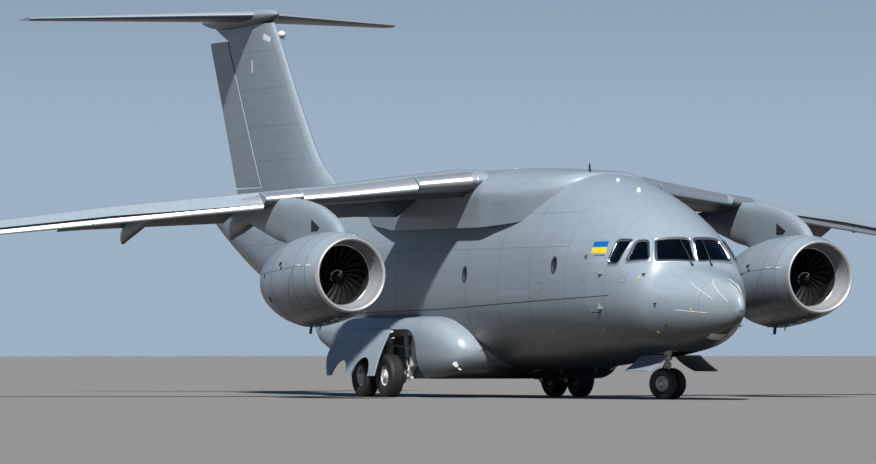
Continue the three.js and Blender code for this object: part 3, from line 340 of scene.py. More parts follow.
bpy.ops.object.camera_add(location=CAMERA_PLACE, rotation=turned_to(CAMERA_WAY))
camera = bpy.context.object
camera.data.lens, camera.data.sensor_width = LENS_LENGTH, SENSOR_WIDTH
camera.data.clip_start, camera.data.clip_end = 1, 2 * FLOOR_SIZE
bpy.context.scene.camera = camera

bpy.ops.mesh.primitive_plane_add(size=FLOOR_SIZE)
floor = bpy.context.object
floor.name = "studio_floor"

bpy.ops.object.light_add(type="SUN", rotation=turned_to(SUN_WAY))
sun = bpy.context.object.data
sun.energy, sun.angle, sun.color = SUN_STRENGTH, SUN_BREADTH, SUN_COLOUR
bpy.context.scene.view_settings.view_transform = "Standard"
print("camera", tuple(round(v, 2) for v in camera.location), "sun", SUN_STRENGTH)

# %% [markdown]
# Colours and finishes are drawn as nodes that feed each other. A few helpers keep that short: one adds a
# node, sets its values and links its sockets, and the others name the nodes that are used most.

# %% A small way of writing shader nodes
def node(tree, kind, values=None, **settings):
    """Adds a node. values are its inputs, each a number, a colour or another node's output."""
    made = tree.nodes.new(kind)
    for key, value in settings.items():
        setattr(made, key, value)
    for key, value in (values or {}).items():
        if isinstance(value, bpy.types.NodeSocket):
            tree.links.new(value, made.inputs[key])
        else:
            made.inputs[key].default_value = value
    return made


def maths(tree, operation, first, second, third=0.0):
    made = node(tree, "ShaderNodeMath", {0: first, 1: second, 2: third}, operation=operation)
    return made.outputs[0]


def mapped(tree, value, start, end, low=0.0, high=1.0):
    """A value from one range carried into another."""
    ends = {"Value": value, "From Min": start, "From Max": end, "To Min": low, "To Max": high}
    return node(tree, "ShaderNodeMapRange", ends).outputs[0]


def noise(tree, vector, scale, detail):
    made = node(tree, "ShaderNodeTexNoise", {"Vector": vector, "Scale": scale, "Detail": detail})
    return made.outputs["Fac"]


def group(name, inputs, outputs):
    tree = bpy.data.node_groups.new(name, "ShaderNodeTree")
    for way, sockets in (("INPUT", inputs), ("OUTPUT", outputs)):
        for label, kind in sockets:
            tree.interface.new_socket(label, in_out=way, socket_type="NodeSocket" + kind)
    return tree, tree.nodes.new("NodeGroupInput"), tree.nodes.new("NodeGroupOutput")


print("node helpers ready")

# %% [markdown]
# The sky lights all that the sun doesn't reach. It is pale at the horizon and a deeper blue above, so that
# surfaces that look up and surfaces that look level differ in colour. A plain colour would flatten the
# round body.

# %% The sky
HORIZON, ZENITH = (.34, .44, .56, 1), (.035, .085, .165, 1)
PALE_UP_TO, DEEP_FROM = .03, .12
world = bpy.data.worlds.new("studio_sky")
world.use_nodes = True
sky = world.node_tree
look_up = node(sky, "ShaderNodeSeparateXYZ", {0: sky.nodes.new("ShaderNodeTexCoord").outputs["Generated"]})
share = mapped(sky, look_up.outputs["Z"], PALE_UP_TO, DEEP_FROM)
colour = node(sky, "ShaderNodeMix", {0: share, 6: HORIZON, 7: ZENITH}, data_type="RGBA").outputs[2]
sky.links.new(colour, sky.nodes["Background"].inputs["Color"])
bpy.context.scene.world = world
print("sky:", HORIZON[:3], "to", ZENITH[:3])

# %% [markdown]
# Paint on an aircraft is never one flat colour. Dirt streams back along the body, panels vary a little,
# undersides are darkened as painted shade, and the finish has a faint orange peel. One node group gives this
# to every material, with amounts of its own.

# %% The weathering and painted shade group
PATCH_SCALE, STREAK_SCALE, PEEL_SCALE = .55, 1.6, 90
STREAM = (.35, 5, 5)
PATCH_SHARE, DARKEST, LIGHTEST = .22, .82, 1.16
# Painted shade: faces that look down take the material's shade amount, and faces that look up keep their full
# colour.
UNDERSIDE, TOPSIDE = -.75, .3
wear_and_shade, given, result = group(
    "weathered_and_shaded_skin", [("Colour", "Color"), ("Dirt", "Float"), ("Gloss", "Float"), ("Painted_shade", "Float")],
    [("Colour", "Color"), ("Roughness", "Float"), ("Height", "Float")])
place = wear_and_shade.nodes.new("ShaderNodeTexCoord").outputs["Object"]
along = node(wear_and_shade, "ShaderNodeMapping", {"Vector": place, "Scale": STREAM}).outputs[0]
patches = noise(wear_and_shade, place, PATCH_SCALE, 4)
streaks = noise(wear_and_shade, along, STREAK_SCALE, 5)
peel = noise(wear_and_shade, place, PEEL_SCALE, 2)
varied = maths(wear_and_shade, "MULTIPLY", maths(wear_and_shade, "SUBTRACT", patches, .5), PATCH_SHARE)
worn = maths(wear_and_shade, "MULTIPLY_ADD", maths(wear_and_shade, "SUBTRACT", streaks, .5), given.outputs["Dirt"], varied)
outwards = wear_and_shade.nodes.new("ShaderNodeNewGeometry").outputs["Normal"]
facing = node(wear_and_shade, "ShaderNodeSeparateXYZ", {0: outwards})
dark = mapped(wear_and_shade, worn, -.35, .35, DARKEST, LIGHTEST)
# Painted shade: the colour darkens on faces that look down, standing in for the shade under the body, wings
# and cowls.
underside_shade = mapped(wear_and_shade, facing.outputs["Z"], UNDERSIDE, TOPSIDE, given.outputs["Painted_shade"], 1.0)
shade = maths(wear_and_shade, "MULTIPLY", dark, underside_shade)
shaded = node(wear_and_shade, "ShaderNodeVectorMath", {0: given.outputs["Colour"], "Scale": shade},
              operation="SCALE")
gloss = maths(wear_and_shade, "MULTIPLY_ADD", worn, -.3, given.outputs["Gloss"])
height = maths(wear_and_shade, "MULTIPLY_ADD", peel, .0006, maths(wear_and_shade, "MULTIPLY", patches, .004))
for label, value in (("Colour", shaded.outputs[0]), ("Roughness", gloss), ("Height", height)):
    wear_and_shade.links.new(value, result.inputs[label])
print("group:", wear_and_shade.name)

# %% [markdown]
# A material sets its own colour, roughness and bump, and the group above wears it and paints shade on its
# undersides. The shader node itself stays in the material, outside the group.

# %% Making a material
# The last amount sets how dark the painted shade on downward faces goes: a small number darkens them most.
def material(name, colour, rough=.4, metal=0.0, bump=.25, dirt=.5, underside_shade=.4):
    made = bpy.data.materials.new(name)
    made.use_nodes = True
    tree = made.node_tree
    shader = tree.nodes["Principled BSDF"]
    amounts = {"Colour": (*colour, 1), "Dirt": dirt, "Painted_shade": underside_shade, "Gloss": rough}
    skin = node(tree, "ShaderNodeGroup", node_tree=wear_and_shade)
    for key, value in amounts.items():
        skin.inputs[key].default_value = value
    ripple = node(tree, "ShaderNodeBump", {"Strength": bump, "Height": skin.outputs["Height"]})
    tree.links.new(skin.outputs["Colour"], shader.inputs["Base Color"])
    tree.links.new(skin.outputs["Roughness"], shader.inputs["Roughness"])
    tree.links.new(ripple.outputs[0], shader.inputs["Normal"])
    shader.inputs["Metallic"].default_value = metal
    return made


print("materials wear the group", wear_and_shade.name)

# %% [markdown]
# Paints. The whole aircraft is one grey, but each part has its own gloss, its own share of dirt and its own
# depth of painted shade underneath: the radome is a little paler, the cowls are cleaner, and the doors are
# duller.

# %% Paints
GREY = (.285, .347, .4)
PAINT = material("grey_paint", GREY, .36, underside_shade=.06)
PLAIN = material("plain_grey_paint", GREY, underside_shade=.25)
WING_PAINT = material("wing_paint", GREY, .38, underside_shade=.06)
COWL_PAINT = material("cowl_paint", GREY, .3, dirt=.35, underside_shade=.08)
RADOME = material("radome_paint", (.31, .367, .407), .32, dirt=.3, underside_shade=.06)
DARK_PAINT = material("dark_paint", (.05, .06, .07), .4)
LEG = material("leg_paint", (.62, .65, .64), .32, 0, .1, .3)
RIM = material("wheel_rim", (.55, .58, .58), .38, 0, .1, .6)
WHITE = material("white_paint", (.75, .76, .76), .4, 0, .1, .2)
FLAG_BLUE = material("flag_blue", (0, .13, .55), .45, 0, .1, .1)
FLAG_YELLOW = material("flag_yellow", (.9, .62, .01), .45, 0, .1, .1)
print("grey paint:", GREY)

# %% [markdown]
# Metals. Slats and intake lips are left bare because rain and ice would wear paint off them. They are
# brushed, not mirrors, so they are a little rough. The fan is painted near black, as painted shade, because
# little light reaches it.

# %% Metals
SATIN = material("satin_metal", (.8, .82, .84), .34, .8, .06, .15, underside_shade=.2)
LIP = material("brushed_lip", (.84, .85, .86), .36, .7, .06, .15, underside_shade=.3)
BARE = material("bare_metal", (.78, .79, .8), .2, 1, .1, .2)
STEEL = material("engine_steel", (.2, .17, .15), .4, 1, .2, .6)
# Painted shade: the fan's near-black colour stands in for the shade deep in the intake.
DARK_METAL = material("fan_metal", (.004, .004, .005), .55, .1, .1, .3)
print(len(bpy.data.materials), "materials so far")

# %% [markdown]
# Rubber, cloth, linings and glass. Glass lets light through and has a thin film of dust, which only its
# roughness shows. A lamp's lens is a pale gloss, because nothing is lit behind it.

# %% Rubber, cloth, linings and glass
RUBBER = material("tyre_rubber", (.018, .018, .019), .68, 0, .6, .5)
SEAL = material("seal_dark", (.02, .022, .024), .6, 0, .1, .2)
DUCT = material("duct_lining", (.34, .36, .38), .45, 0, .1, .3)
LINING = material("cabin_lining", (.1, .105, .1), .7, 0, .3, .3)
SEAT = material("seat_cover", (.03, .036, .045), .85, 0, 1, .3)
FLOOR = material("studio_floor", (.26, .25, .235), .8, 0, .3, .15)
LENS = material("lamp_lens", (.95, .95, .92), .15, 0, .05, .05)
floor.data.materials.append(FLOOR)


def glass(name, colour):
    made = bpy.data.materials.new(name)
    made.use_nodes = True
    tree = made.node_tree
    shader = tree.nodes["Principled BSDF"]
    shader.inputs["Transmission Weight"].default_value = 1
    shader.inputs["Base Color"].default_value = (*colour, 1)
    film = noise(tree, tree.nodes.new("ShaderNodeTexCoord").outputs["Object"], 3, 4)
    tree.links.new(maths(tree, "MULTIPLY_ADD", film, .06, .03), shader.inputs["Roughness"])
    return made


GLASS = glass("window_glass", (.35, .45, .48))
print(len(bpy.data.materials), "materials")

# %% [markdown]
# Openings with rounded corners, such as windows and doors, are outlines on the skin. From one outline come
# the cutter that opens the skin, the frame round it and the seam line.

# %% Outlines on the skin
ARC_STEPS, STRAIGHT_STEPS = 6, 6


def rounded(corners, radius):
    """A closed outline through a polygon with rounded corners, as an array of points."""
    p = [np.array(c, float) for c in corners]
    out = []
    for i, corner in enumerate(p):
        before, after = p[i - 1] - corner, p[(i + 1) % len(p)] - corner
        r1, r2 = (min(radius, .45 * np.linalg.norm(v)) / np.linalg.norm(v) for v in (before, after))
        start, end = corner + before * r1, corner + after * r2
        for t in np.linspace(0, 1, ARC_STEPS):
            out.append((1 - t) ** 2 * start + 2 * t * (1 - t) * corner + t * t * end)
        stop = p[(i + 1) % len(p)] - after * r2
        for t in np.linspace(0, 1, STRAIGHT_STEPS + 1, endpoint=False)[1:]:
            out.append(end + (stop - end) * t)
    return np.array(out)


def unit(v):
    v = np.asarray(v, float)
    return v / np.linalg.norm(v, axis=-1, keepdims=True)


def band(name, outline, normal, offsets):
    """A closed rim that follows an outline. offsets are (outwards in the plane, along the normal) pairs."""
    ahead = unit(np.roll(outline, -1, axis=0) - np.roll(outline, 1, axis=0))
    side = np.cross(ahead, normal)
    if ((outline - outline.mean(axis=0)) * side).sum() < 0:
        side = -side
    rows = np.stack([outline + side * w + np.asarray(normal) * h for w, h in offsets], axis=1)
    return lay(name, np.concatenate([rows, rows[:1]]), cap=False)


def plug(name, outline, normal, low, high):
    """A cutter through the skin in the shape of an outline, from low to high along the normal."""
    normal = np.asarray(normal)
    return lay(name, [outline + normal * low, outline + normal * high])


TUBE_SIDES = 6


def tube(name, paths, radius):
    """Round lines, such as panel seams, rods and pipes, along paths of points."""
    made = []
    turn = circle(TUBE_SIDES)[:, None]
    for path in paths:
        p = np.asarray(path, float)
        ahead = unit(np.gradient(p, axis=0))
        helper = np.where(np.abs(ahead[:, 2:]) > .9, [[1.0, 0, 0]], [[0, 0, 1.0]])
        u = unit(np.cross(ahead, helper))
        v = np.cross(ahead, u)
        spokes = [(np.cos(turn) * a + np.sin(turn) * b) * radius for a, b in zip(u, v)]
        made.append(lay(name, [point + spoke for point, spoke in zip(p, spokes)]))
    return joined(name, *made)


print("outlines with", ARC_STEPS, "steps to a corner, and lines with", TUBE_SIDES, "sides")

# %% [markdown]
# The body is a pressed-skin tube on frames. Here it is a wall of smooth sheet, laid in the same lengths as
# the real sections, which are built apart and joined end to end.

# %% The body's sections
def stations(front, back, step):
    return np.linspace(front, back, max(2, int(round((front - back) / step)) + 1))


def wall(name, front, back, step, inner_step=.4):
    outer = [section(x) for x in stations(front, back, step)]
    inner = [section(x, inset=WALL) for x in stations(front, back, inner_step)][::-1]
    return lay(name, outer + inner + outer[:1], cap=False)


def solid_body(name, front, back, step):
    return lay(name, [section(x) for x in stations(front, back, step)])


NOSE_X, TAIL_X, SLACK = FUSELAGE[0][0], FUSELAGE[-1][0], .001
nose_rows = [section(x) for x in NOSE_X - .0005 - (NOSE_X - RADOME_JOINT) * np.linspace(0, 1, 26) ** 1.7]
radome = lay("radome_skin", nose_rows)
cockpit = wall("cockpit_skin", RADOME_JOINT - .002, COCKPIT_JOINT + SLACK, .06)
middle = wall("middle_skin", COCKPIT_JOINT - SLACK, AFT_JOINT + SLACK, .3, 1)
rear = wall("rear_skin", AFT_JOINT - SLACK, CONE_JOINT + SLACK, .2, .8)
cone = wall("tail_cone_skin", CONE_JOINT - SLACK, TAIL_X, .2, .8)
print("body sections laid from", NOSE_X, "to", TAIL_X)

# %% [markdown]
# The flight deck has three windows a side. Each opening is cut through the wall, and a bright metal frame
# lies round it, with a wider rim outside that.

# %% Flight deck windows
PANES = [
    [(13.8, .06, 3.675), (13.57, .77, 3.64), (13.93, .93, 3.18), (14.11, .05, 3.2)],
    [(13.47, .92, 3.62), (13.27, 1.1, 3.63), (13.32, 1.39, 3.17), (13.81, 1.06, 3.2)],
    [(13.14, 1.16, 3.64), (12.74, 1.33, 3.65), (12.73, 1.58, 3.13), (13.06, 1.5, 3.13)],
]
PANE_CORNER, RIM_GROWTH = .09, .14
FRAME_LINE = [(-.014, -.09), (-.014, .004), (-.002, .014), (.03, .015), (.045, .004), (.03, -.09)]
RIM_LINE = [(-.012, -.02), (-.012, .005), (0, .009), (.02, .009), (.03, .003), (.02, -.02)]
frames, rims = [], []
for pane in PANES:
    for _, side in SIDES:
        corners = np.array(pane) * (1, side, 1)
        normal = unit(np.cross(corners[2] - corners[0], corners[3] - corners[1]) * side)
        if normal[0] + normal[2] <= 0 and normal[1] * side <= 0:
            normal = -normal
        outline = onto_skin(rounded(corners, PANE_CORNER), normal)
        wider = onto_skin(outline + (outline - outline.mean(axis=0)) * RIM_GROWTH, normal)
        boolean(cockpit, plug("pane_cut", outline, normal, -.3, .25))
        frames.append(band("window_frame", outline, normal, FRAME_LINE))
        rims.append(band("window_rim", wider, normal, RIM_LINE))
placed(joined("window_frames", *frames), BARE, "bare_metal")
placed(joined("window_outer_rims", *rims), SATIN, "bare_metal")

# %% [markdown]
# The panes are one curved sheet, laid a few centimetres inside the skin and cut down to the height of the
# windows.

# %% The panes
GLASS_OUT, GLASS_IN = .036, .058
glazed = stations(14.3, 12.65, .08)
sheet = [section(x, inset=GLASS_OUT) for x in glazed] + [section(x, inset=GLASS_IN) for x in glazed][::-1]
panes = lay("flight_deck_panes", sheet + sheet[:1], cap=False)
boolean(panes, block("glass_zone", (12, -3, 3.04), (15, 3, 3.76)), "INTERSECT")
placed(panes, GLASS, "window_glass", replaces=["flight_deck_glass"])

# %% [markdown]
# Doors: the crew door to port is also the steps and drops outwards, and the service door opposite swings
# forwards. Each is cut from the same wall as the skin round it, so that it lies flush, and is a little
# smaller than its hole.

# %% Side doors
DOOR_SHRINK = 1 - .012 / .5


def door(name, cad, body, low, high, taper):
    """A door cut from the cockpit wall. low and high are its box's corners, and taper narrows it inwards."""
    side = 1 if high[1] > 0 else -1
    corners = [(low[0], low[2]), (high[0], low[2]), (high[0], high[2]), (low[0], high[2])]
    rim = [(x, side * 2.1, z) for x, z in corners]
    inner = [(x + dx, side * .9, z + dz) for (x, z), (dx, dz) in zip(corners, taper)]
    outlines = [rounded(inner, .1), rounded(rim, .1)]
    middles = [line.mean(axis=0) for line in outlines]
    filler = lay("door_form", [(line - at) * DOOR_SHRINK + at for line, at in zip(outlines, middles)])
    leaf = copied(cockpit, name)
    boolean(leaf, filler, "INTERSECT")
    boolean(cockpit, lay("door_hole", outlines))
    return placed(leaf, PLAIN, body=body, replaces=[cad])


door("crew_door_leaf", "crew_door", "crew_door_body", (11.35, .9, 2.0), (12.15, 2.1, 3.68),
     [(0, 0), (0, 0), (0, -.36), (0, -.36)])
door("service_door_leaf", "service_door", "service_door_body", (11.84, -2.1, 2.0), (12.54, -.9, 3.33),
     [(.6, 0), (0, 0), (0, 0), (.6, 0)])

# %% [markdown]
# The nose leg folds into a well. A box is cut from the skin, and a slightly larger one, hollowed by the
# same box, lines it in white. Trimmed by the body's own form, the lining can't show outside.

# %% The nose wheel well
WELL_LOW, WELL_HIGH = (11.85, -.42, 0), (13.65, .42, 1.75)
boolean(cockpit, block("nose_well", WELL_LOW, WELL_HIGH))
well_box = block("nose_well_lining", (11.82, -.45, .9), (13.68, .45, 1.78))
boolean(well_box, block("well_space", WELL_LOW, WELL_HIGH))
boolean(well_box, solid_body("inside_body", 14.5, 11, .1), "INTERSECT")
placed(well_box, WHITE)

# %% [markdown]
# Two small windows a side light the cabin. Each is an oval on the skin: it cuts the hole, carries a dark
# rim, and closes the hole a little deep with an opaque near-black sheet, painted shade for the dark cabin.

# %% Portholes
PORTHOLES, HALF_WIDTH, HALF_HEIGHT = ((10.36, 3.12), (5.34, 2.95)), .12, .175
PORTHOLE_RIM = [(-.02, -.08), (-.02, .004), (.005, .009), (.03, .006), (.03, -.05)]
for name, side in SIDES:
    way = np.array((0, side, 0))
    for x, z in PORTHOLES:
        y = skin_half(x, z) * side
        oval = [(x + HALF_WIDTH * math.cos(t), y, z + HALF_HEIGHT * math.sin(t)) for t in circle(32)]
        outline = onto_skin(oval, way)
        boolean(middle, plug("port_cut", outline, way, -.09, .2))
        placed(band(f"porthole_rim_{name}_{int(x)}", outline, way, PORTHOLE_RIM), DARK_PAINT)
        # Painted shade: the pane is an opaque near-black sheet, standing in for the dark cabin seen through
        # the glass.
        placed(plug(f"porthole_{name}_{int(x)}", outline, way, -.06, -.04), SEAL, "window_glass")

# %% [markdown]
# With all its openings cut, the front of the body is finished: radome, flight deck section and the cabin
# behind it.

# %% The front of the body
placed(radome, RADOME, "radome_paint", replaces=["radome"])
placed(cockpit, PAINT, replaces=["cockpit_shell"])
placed(middle, PAINT, replaces=["forward_fuselage", "centre_fuselage"])

# %% [markdown]
# The ramp and the door behind it are slices of the rising belly. Each is cut by a block from a solid of the
# body's form, and the ramp's block leans at its back end. The same block, taller and without its gap,
# makes the hole in the skin.

# %% Ramp and aft door
BELOW_SKIN, CLEARANCE = -.6, .006


def belly_space(name, panel, gap, extra):
    """The room of a belly panel. gap is left round the moving part, and extra opens the hole further up."""
    front, back, half, half_back, top, top_back, lean = panel
    corners = []
    ends = ((back + gap, half_back - gap, top_back, lean), (front - gap, half - gap, top, 0))
    for x, h, above, slope in ends:
        for y in (-h, h):
            for rise in (BELOW_SKIN, above + extra):
                corners.append((x + rise * slope, y, body_at(x)[0][2] + rise))
    return block_of(name, corners)


RAMP_PANEL = (AFT_JOINT - .12, -6.5, 1.33, 1.25, .43, .3, .11 / .3)
AFT_PANEL = (-6.52, -10.3, 1.24, .76, .16, .16, 0)
for name, cad, body, panel, extra in (("ramp_floor_and_skin", "cargo_ramp", "ramp_body", RAMP_PANEL, .3),
                                      ("aft_door_skin", "aft_cargo_door", "aft_door_body", AFT_PANEL, .7)):
    leaf = solid_body(name, -2.4, -11, .12)
    boolean(leaf, belly_space("leaf_space", panel, CLEARANCE, 0), "INTERSECT")
    boolean(rear, belly_space("belly_hole", panel, 0, extra))
    placed(leaf, PLAIN, body=body, replaces=[cad])
placed(rear, PAINT, replaces=["aft_fuselage"])
placed(cone, PAINT, replaces=["tail_cone"])

# %% [markdown]
# A wing is a stack of streamlined sections. One formula gives their thickness from front to back, and a
# table gives each station's leading edge, height, chord and thickness, so a skin can be laid through as
# many as it needs.

# %% Sections of the lifting surfaces
def foil_half(share):
    """Half the thickness of a section of unit chord and thickness, at a share of the way back."""
    s = np.asarray(share, float)
    return 5 * (.2969 * np.sqrt(s) - .126 * s - .3516 * s ** 2 + .2843 * s ** 3 - .1015 * s ** 4)


def foil(chord, thick, blunt=.006, count=26, grow=0.0, start=1.0):
    """Pairs (behind the leading edge, offset): from the trailing edge over the top, and back below."""
    s = start * (1 - np.cos(np.linspace(0, math.pi, count))) / 2
    half = foil_half(s) * thick * chord + blunt * s + grow
    half[0] = 0
    back = s * chord
    back[0] -= grow
    over = np.stack([back, half], axis=1)[::-1]
    under = np.stack([back, -half], axis=1)[1:]
    return np.concatenate([over, under])


def between_rows(rows, station):
    table = np.array(rows, float)
    return [float(np.interp(station, table[:, 0], table[:, i])) for i in range(1, table.shape[1])]


print("half thickness at a third of the chord:", round(float(foil_half(1 / 3)), 3))

# %% [markdown]
# The wing droops from the shoulders to the tips and tapers. A point on it is told by its station along the
# span and how far back it lies, so that the flaps, seams and lamps can be put on it later.

# %% The table of the wing
WING = [
    (1.95, 6.08, 5.15, 4.73, .125), (3.2, 5.55, 5.045, 4.12, .12), (5, 4.69, 4.85, 3.54, .115),
    (9.8, 2.395, 4.42, 2.37, .105), (13.9, .435, 3.915, 1.48, .1), (14.27, .15, 3.88, 1.15, .09),
]
INCIDENCE, SWELL, CAMBER = .035, 1.15, .05


def wing_chord(station):
    return between_rows(WING, station)[2]


def wing_point(station, side, back, up):
    """A point of the wing's section: distance behind the leading edge, offset from the chord line."""
    x, z, chord, thick = between_rows(WING, station)
    return (x - back, station * side, z + up - INCIDENCE * back + CAMBER * thick * chord)


def wing_half(station, share):
    chord, thick = between_rows(WING, station)[2:]
    return foil_half(share) * thick * SWELL * chord


def wing_points(station, side, grow=0.0, start=1.0):
    """A ring of points round the wing at a span station."""
    chord, thick = between_rows(WING, station)[2:]
    pairs = foil(chord, thick, grow=grow, start=start)
    return np.array([wing_point(station, side, back, up * SWELL) for back, up in pairs])


def wing_spot(station, share, side, below=False):
    """One point on the wing's skin."""
    half = float(wing_half(station, share)) + .006 * share
    return wing_point(station, side, share * wing_chord(station), -half if below else half)


print("wing chord at the root and tip:", wing_chord(WING[0][0]), wing_chord(WING[-1][0]))

# %% [markdown]
# The aileron is cut out of the wing's own skin, so that its surface runs on from the wing's. The tip turns
# up in a small fin, laid through sections of its own.

# %% Ailerons and wing tips
AILERON_ENDS, AILERON_SHARE, AILERON_GAP = (10.4, 13.4), .74, .032
WINGLET = [  # Y, X of the leading edge, Z, chord
    (14.15, -.02, 3.88, 1.05), (14.2, -.07, 3.9, 1.0), (14.25, -.12, 3.94, .95), (14.3, -.19, 4.01, .88),
    (14.34, -.3, 4.25, .72), (14.37, -.42, 4.43, .57), (14.39, -.5, 4.56, .48), (14.402, -.56, 4.62, .43),
]


def aileron_space(name, side, gap):
    """The room of an aileron: gap is left round the moving part, and the hole reaches further forward."""
    ends = []
    for station in (AILERON_ENDS[0] + gap * 2.5, AILERON_ENDS[1] - gap * 2.5):
        front = between_rows(WING, station)[0] - AILERON_SHARE * wing_chord(station)
        ends.append((front + (0 if gap else AILERON_GAP), station * side))
    return block_of(name, [(x - back, y, z) for back in (1.5, 0) for x, y in ends for z in (3.4, 5.2)])


def winglet_points(side):
    out = []
    for y, x, z, chord in WINGLET:
        pairs = foil(chord, .08, .004, 14)
        out.append(np.stack([x - pairs[:, 0], (y + pairs[:, 1] * .9) * side, np.full(len(pairs), z)], axis=1))
    return out


print("aileron from", *AILERON_ENDS, "and a tip", WINGLET[-1][2], "m high")

# %% [markdown]
# The slats and flaps are down. A section's pairs are turned about a point and may be lowered too, and the
# same tables give the room that is cut for them in the wing.

# %% Slats
SLATS = [  # for each run: station, chord share, droop in degrees, and drop as a share of the chord
    [(3.2, .11, 15, 0), (5, .11, 15, 0), (5.68, .11, 15, 0)],
    [(6.5, .16, 29, 0), (8, .175, 33, 0), (9.8, .19, 37, .012), (13.6, .2, 38, .015)],
]
SLAT_PANELS = [(0, 3.2, 5.68), (1, 6.5, 10.17), (1, 10.19, 13.6)]


def swung(pairs, pivot, degrees):
    """Turns a section's pairs about a pivot: a positive angle takes the front down."""
    c, s = math.cos(math.radians(degrees)), math.sin(math.radians(degrees))
    rel = np.asarray(pairs, float) - pivot
    return np.stack([rel[:, 0] * c - rel[:, 1] * s, rel[:, 0] * s + rel[:, 1] * c], axis=1) + pivot


def slat_ring(rows, station, side):
    """A slat's section: over the nose, under it to the lip, and back along the hollow behind."""
    share, droop, drop = between_rows(rows, station)
    chord = wing_chord(station)
    over = share * np.linspace(1, 0, 18) ** 1.8
    under = share * .3 * np.linspace(0, 1, 8)[1:] ** 1.6
    outer = [(t * chord, wing_half(station, t)) for t in over]
    outer += [(t * chord, -wing_half(station, t * .72)) for t in under]
    lip, edge, hollow = np.array(outer[-1]), np.array(outer[0]) - (0, .012), np.array((.1 * share * chord, 0))
    t = np.linspace(0, 1, 10)[:, None]
    cove = (1 - t) ** 2 * (lip + (.006, .004)) + 2 * t * (1 - t) * hollow + t * t * edge
    pairs = swung(np.concatenate([outer, cove]), outer[0], droop)
    return [wing_point(station, side, back, up - drop * chord) for back, up in pairs]


def slat_space(name, rows, side):
    walls = []
    for station, share, *_ in rows:
        chord = wing_chord(station)
        high = np.array((share * chord - .015, wing_half(station, share)))
        low = np.array((.3 * share * chord, -wing_half(station, .3 * share)))
        a, b = high + (high - low) * .25, low + (low - high) * .25
        corners = (a, b, (-.3 * chord, b[1]), (-.3 * chord, a[1]))
        walls.append([wing_point(station, side, *p) for p in corners])
    return lay(name, walls)


print(len(SLAT_PANELS), "slats a side")

# %% [markdown]
# A flap is the rear of the wing's section with a round nose of its own, and is turned down about a point
# under that nose. The tracks that carry it hide in long pods under the wing.

# %% Flaps and the pods of their tracks
FLAPS = [(2, 3.2, 5, 5.85), (6.35, 9.8, 10.3)]
FLAP_SHARE, FLAP_NOSE, FLAP_DROOP = .74, .7, 25
TRACKS = [  # station, then X, half width, top and foot
    (6.1, [(2.29, .12, 4.6, 4.18), (1.7, .14, 4.56, 4.01), (1.05, .13, 4.5, 3.87), (.72, .07, 4.33, 3.8),
           (.6, .03, 4.2, 3.88)]),
    (8.65, [(2.25, .02, 4.38, 4.29), (1.6, .08, 4.44, 4.12), (.9, .105, 4.38, 3.93), (.3, .095, 4.25, 3.765),
            (.04, .05, 4.05, 3.695), (-.05, .025, 3.98, 3.76)]),
]


def flap_ring(station, side):
    chord = wing_chord(station)
    turn = np.linspace(math.pi / 2, 1.5 * math.pi, 11)
    half = float(wing_half(station, .75))
    nose = [((FLAP_NOSE + .03) * chord + .03 * chord * math.cos(a), half * math.sin(a)) for a in turn]
    back = np.linspace(FLAP_NOSE + .05, 1, 12)
    upper = [(t * chord, float(wing_half(station, t)) + .004) for t in back[::-1]]
    lower = [(t * chord, -float(wing_half(station, t)) - .004) for t in back]
    pivot = (FLAP_NOSE * chord, -float(wing_half(station, FLAP_NOSE)))
    pairs = swung(upper + nose + lower, pivot, -FLAP_DROOP)
    return [wing_point(station, side, *pair) for pair in pairs]


def flap_space(name, places, side):
    rows = []
    for station in places:
        x, _, chord, _ = between_rows(WING, station)
        front, back = x - FLAP_SHARE * chord, x - 2 * chord
        corners = ((front, 3.4), (front, 5.6), (back, 5.6), (back, 3.4))
        rows.append([(a, station * side, z) for a, z in corners])
    return lay(name, rows)


def track_points(station, rows, side):
    shape = curve(rows)
    turn = circle(28)
    out = []
    for x in np.linspace(rows[0][0], rows[-1][0], 40):
        half, high, foot = shape(x)[0]
        y = station * side + half * bulged(np.cos(turn), .8)
        z = (high + foot) / 2 + (high - foot) / 2 * np.sin(turn)
        out.append(np.stack([np.full(len(turn), x), y, z], axis=1))
    return out


print(len(FLAPS), "flaps and", len(TRACKS), "track pods a side")

# %% [markdown]
# The wing's skin is laid, the aileron is taken from it, and the rooms of the aileron, slats and flaps are
# cut. The tip, the lowered flaps and the pods are then joined to it as one piece.

# %% The wings
WING_STATIONS = np.concatenate([[1.6], np.linspace(1.95, 13.9, 48), [14.0, 14.1, 14.2, 14.27]])
for name, side in SIDES:
    skin = lay("wing_skin_" + name, [wing_points(s, side) for s in WING_STATIONS])
    aileron = copied(skin, "aileron_skin_" + name)
    boolean(aileron, aileron_space("aileron_form", side, CLEARANCE), "INTERSECT")
    boolean(skin, aileron_space("aileron_hole", side, 0))
    for rows in SLATS:
        boolean(skin, slat_space("slat_hole", rows, side))
    for row in FLAPS:
        boolean(skin, flap_space("flap_hole", row, side))
    tip = lay("tip", winglet_points(side))
    flaps = [lay("flap", [flap_ring(s, side) for s in np.linspace(row[0], row[-1], 14)]) for row in FLAPS]
    pods = [lay("track", track_points(station, rows, side)) for station, rows in TRACKS]
    skin = joined("wing_skin_" + name, skin, tip, *flaps, *pods)
    placed(skin, WING_PAINT, replaces=["wing_" + name])
    placed(aileron, PLAIN, body=f"aileron_{name}_body", replaces=["aileron_" + name])

# %% [markdown]
# The slats, and the strips of leading edge between them, are bright metal, because paint would not last
# there. The wing's other joints are thin dark lines along and across it.

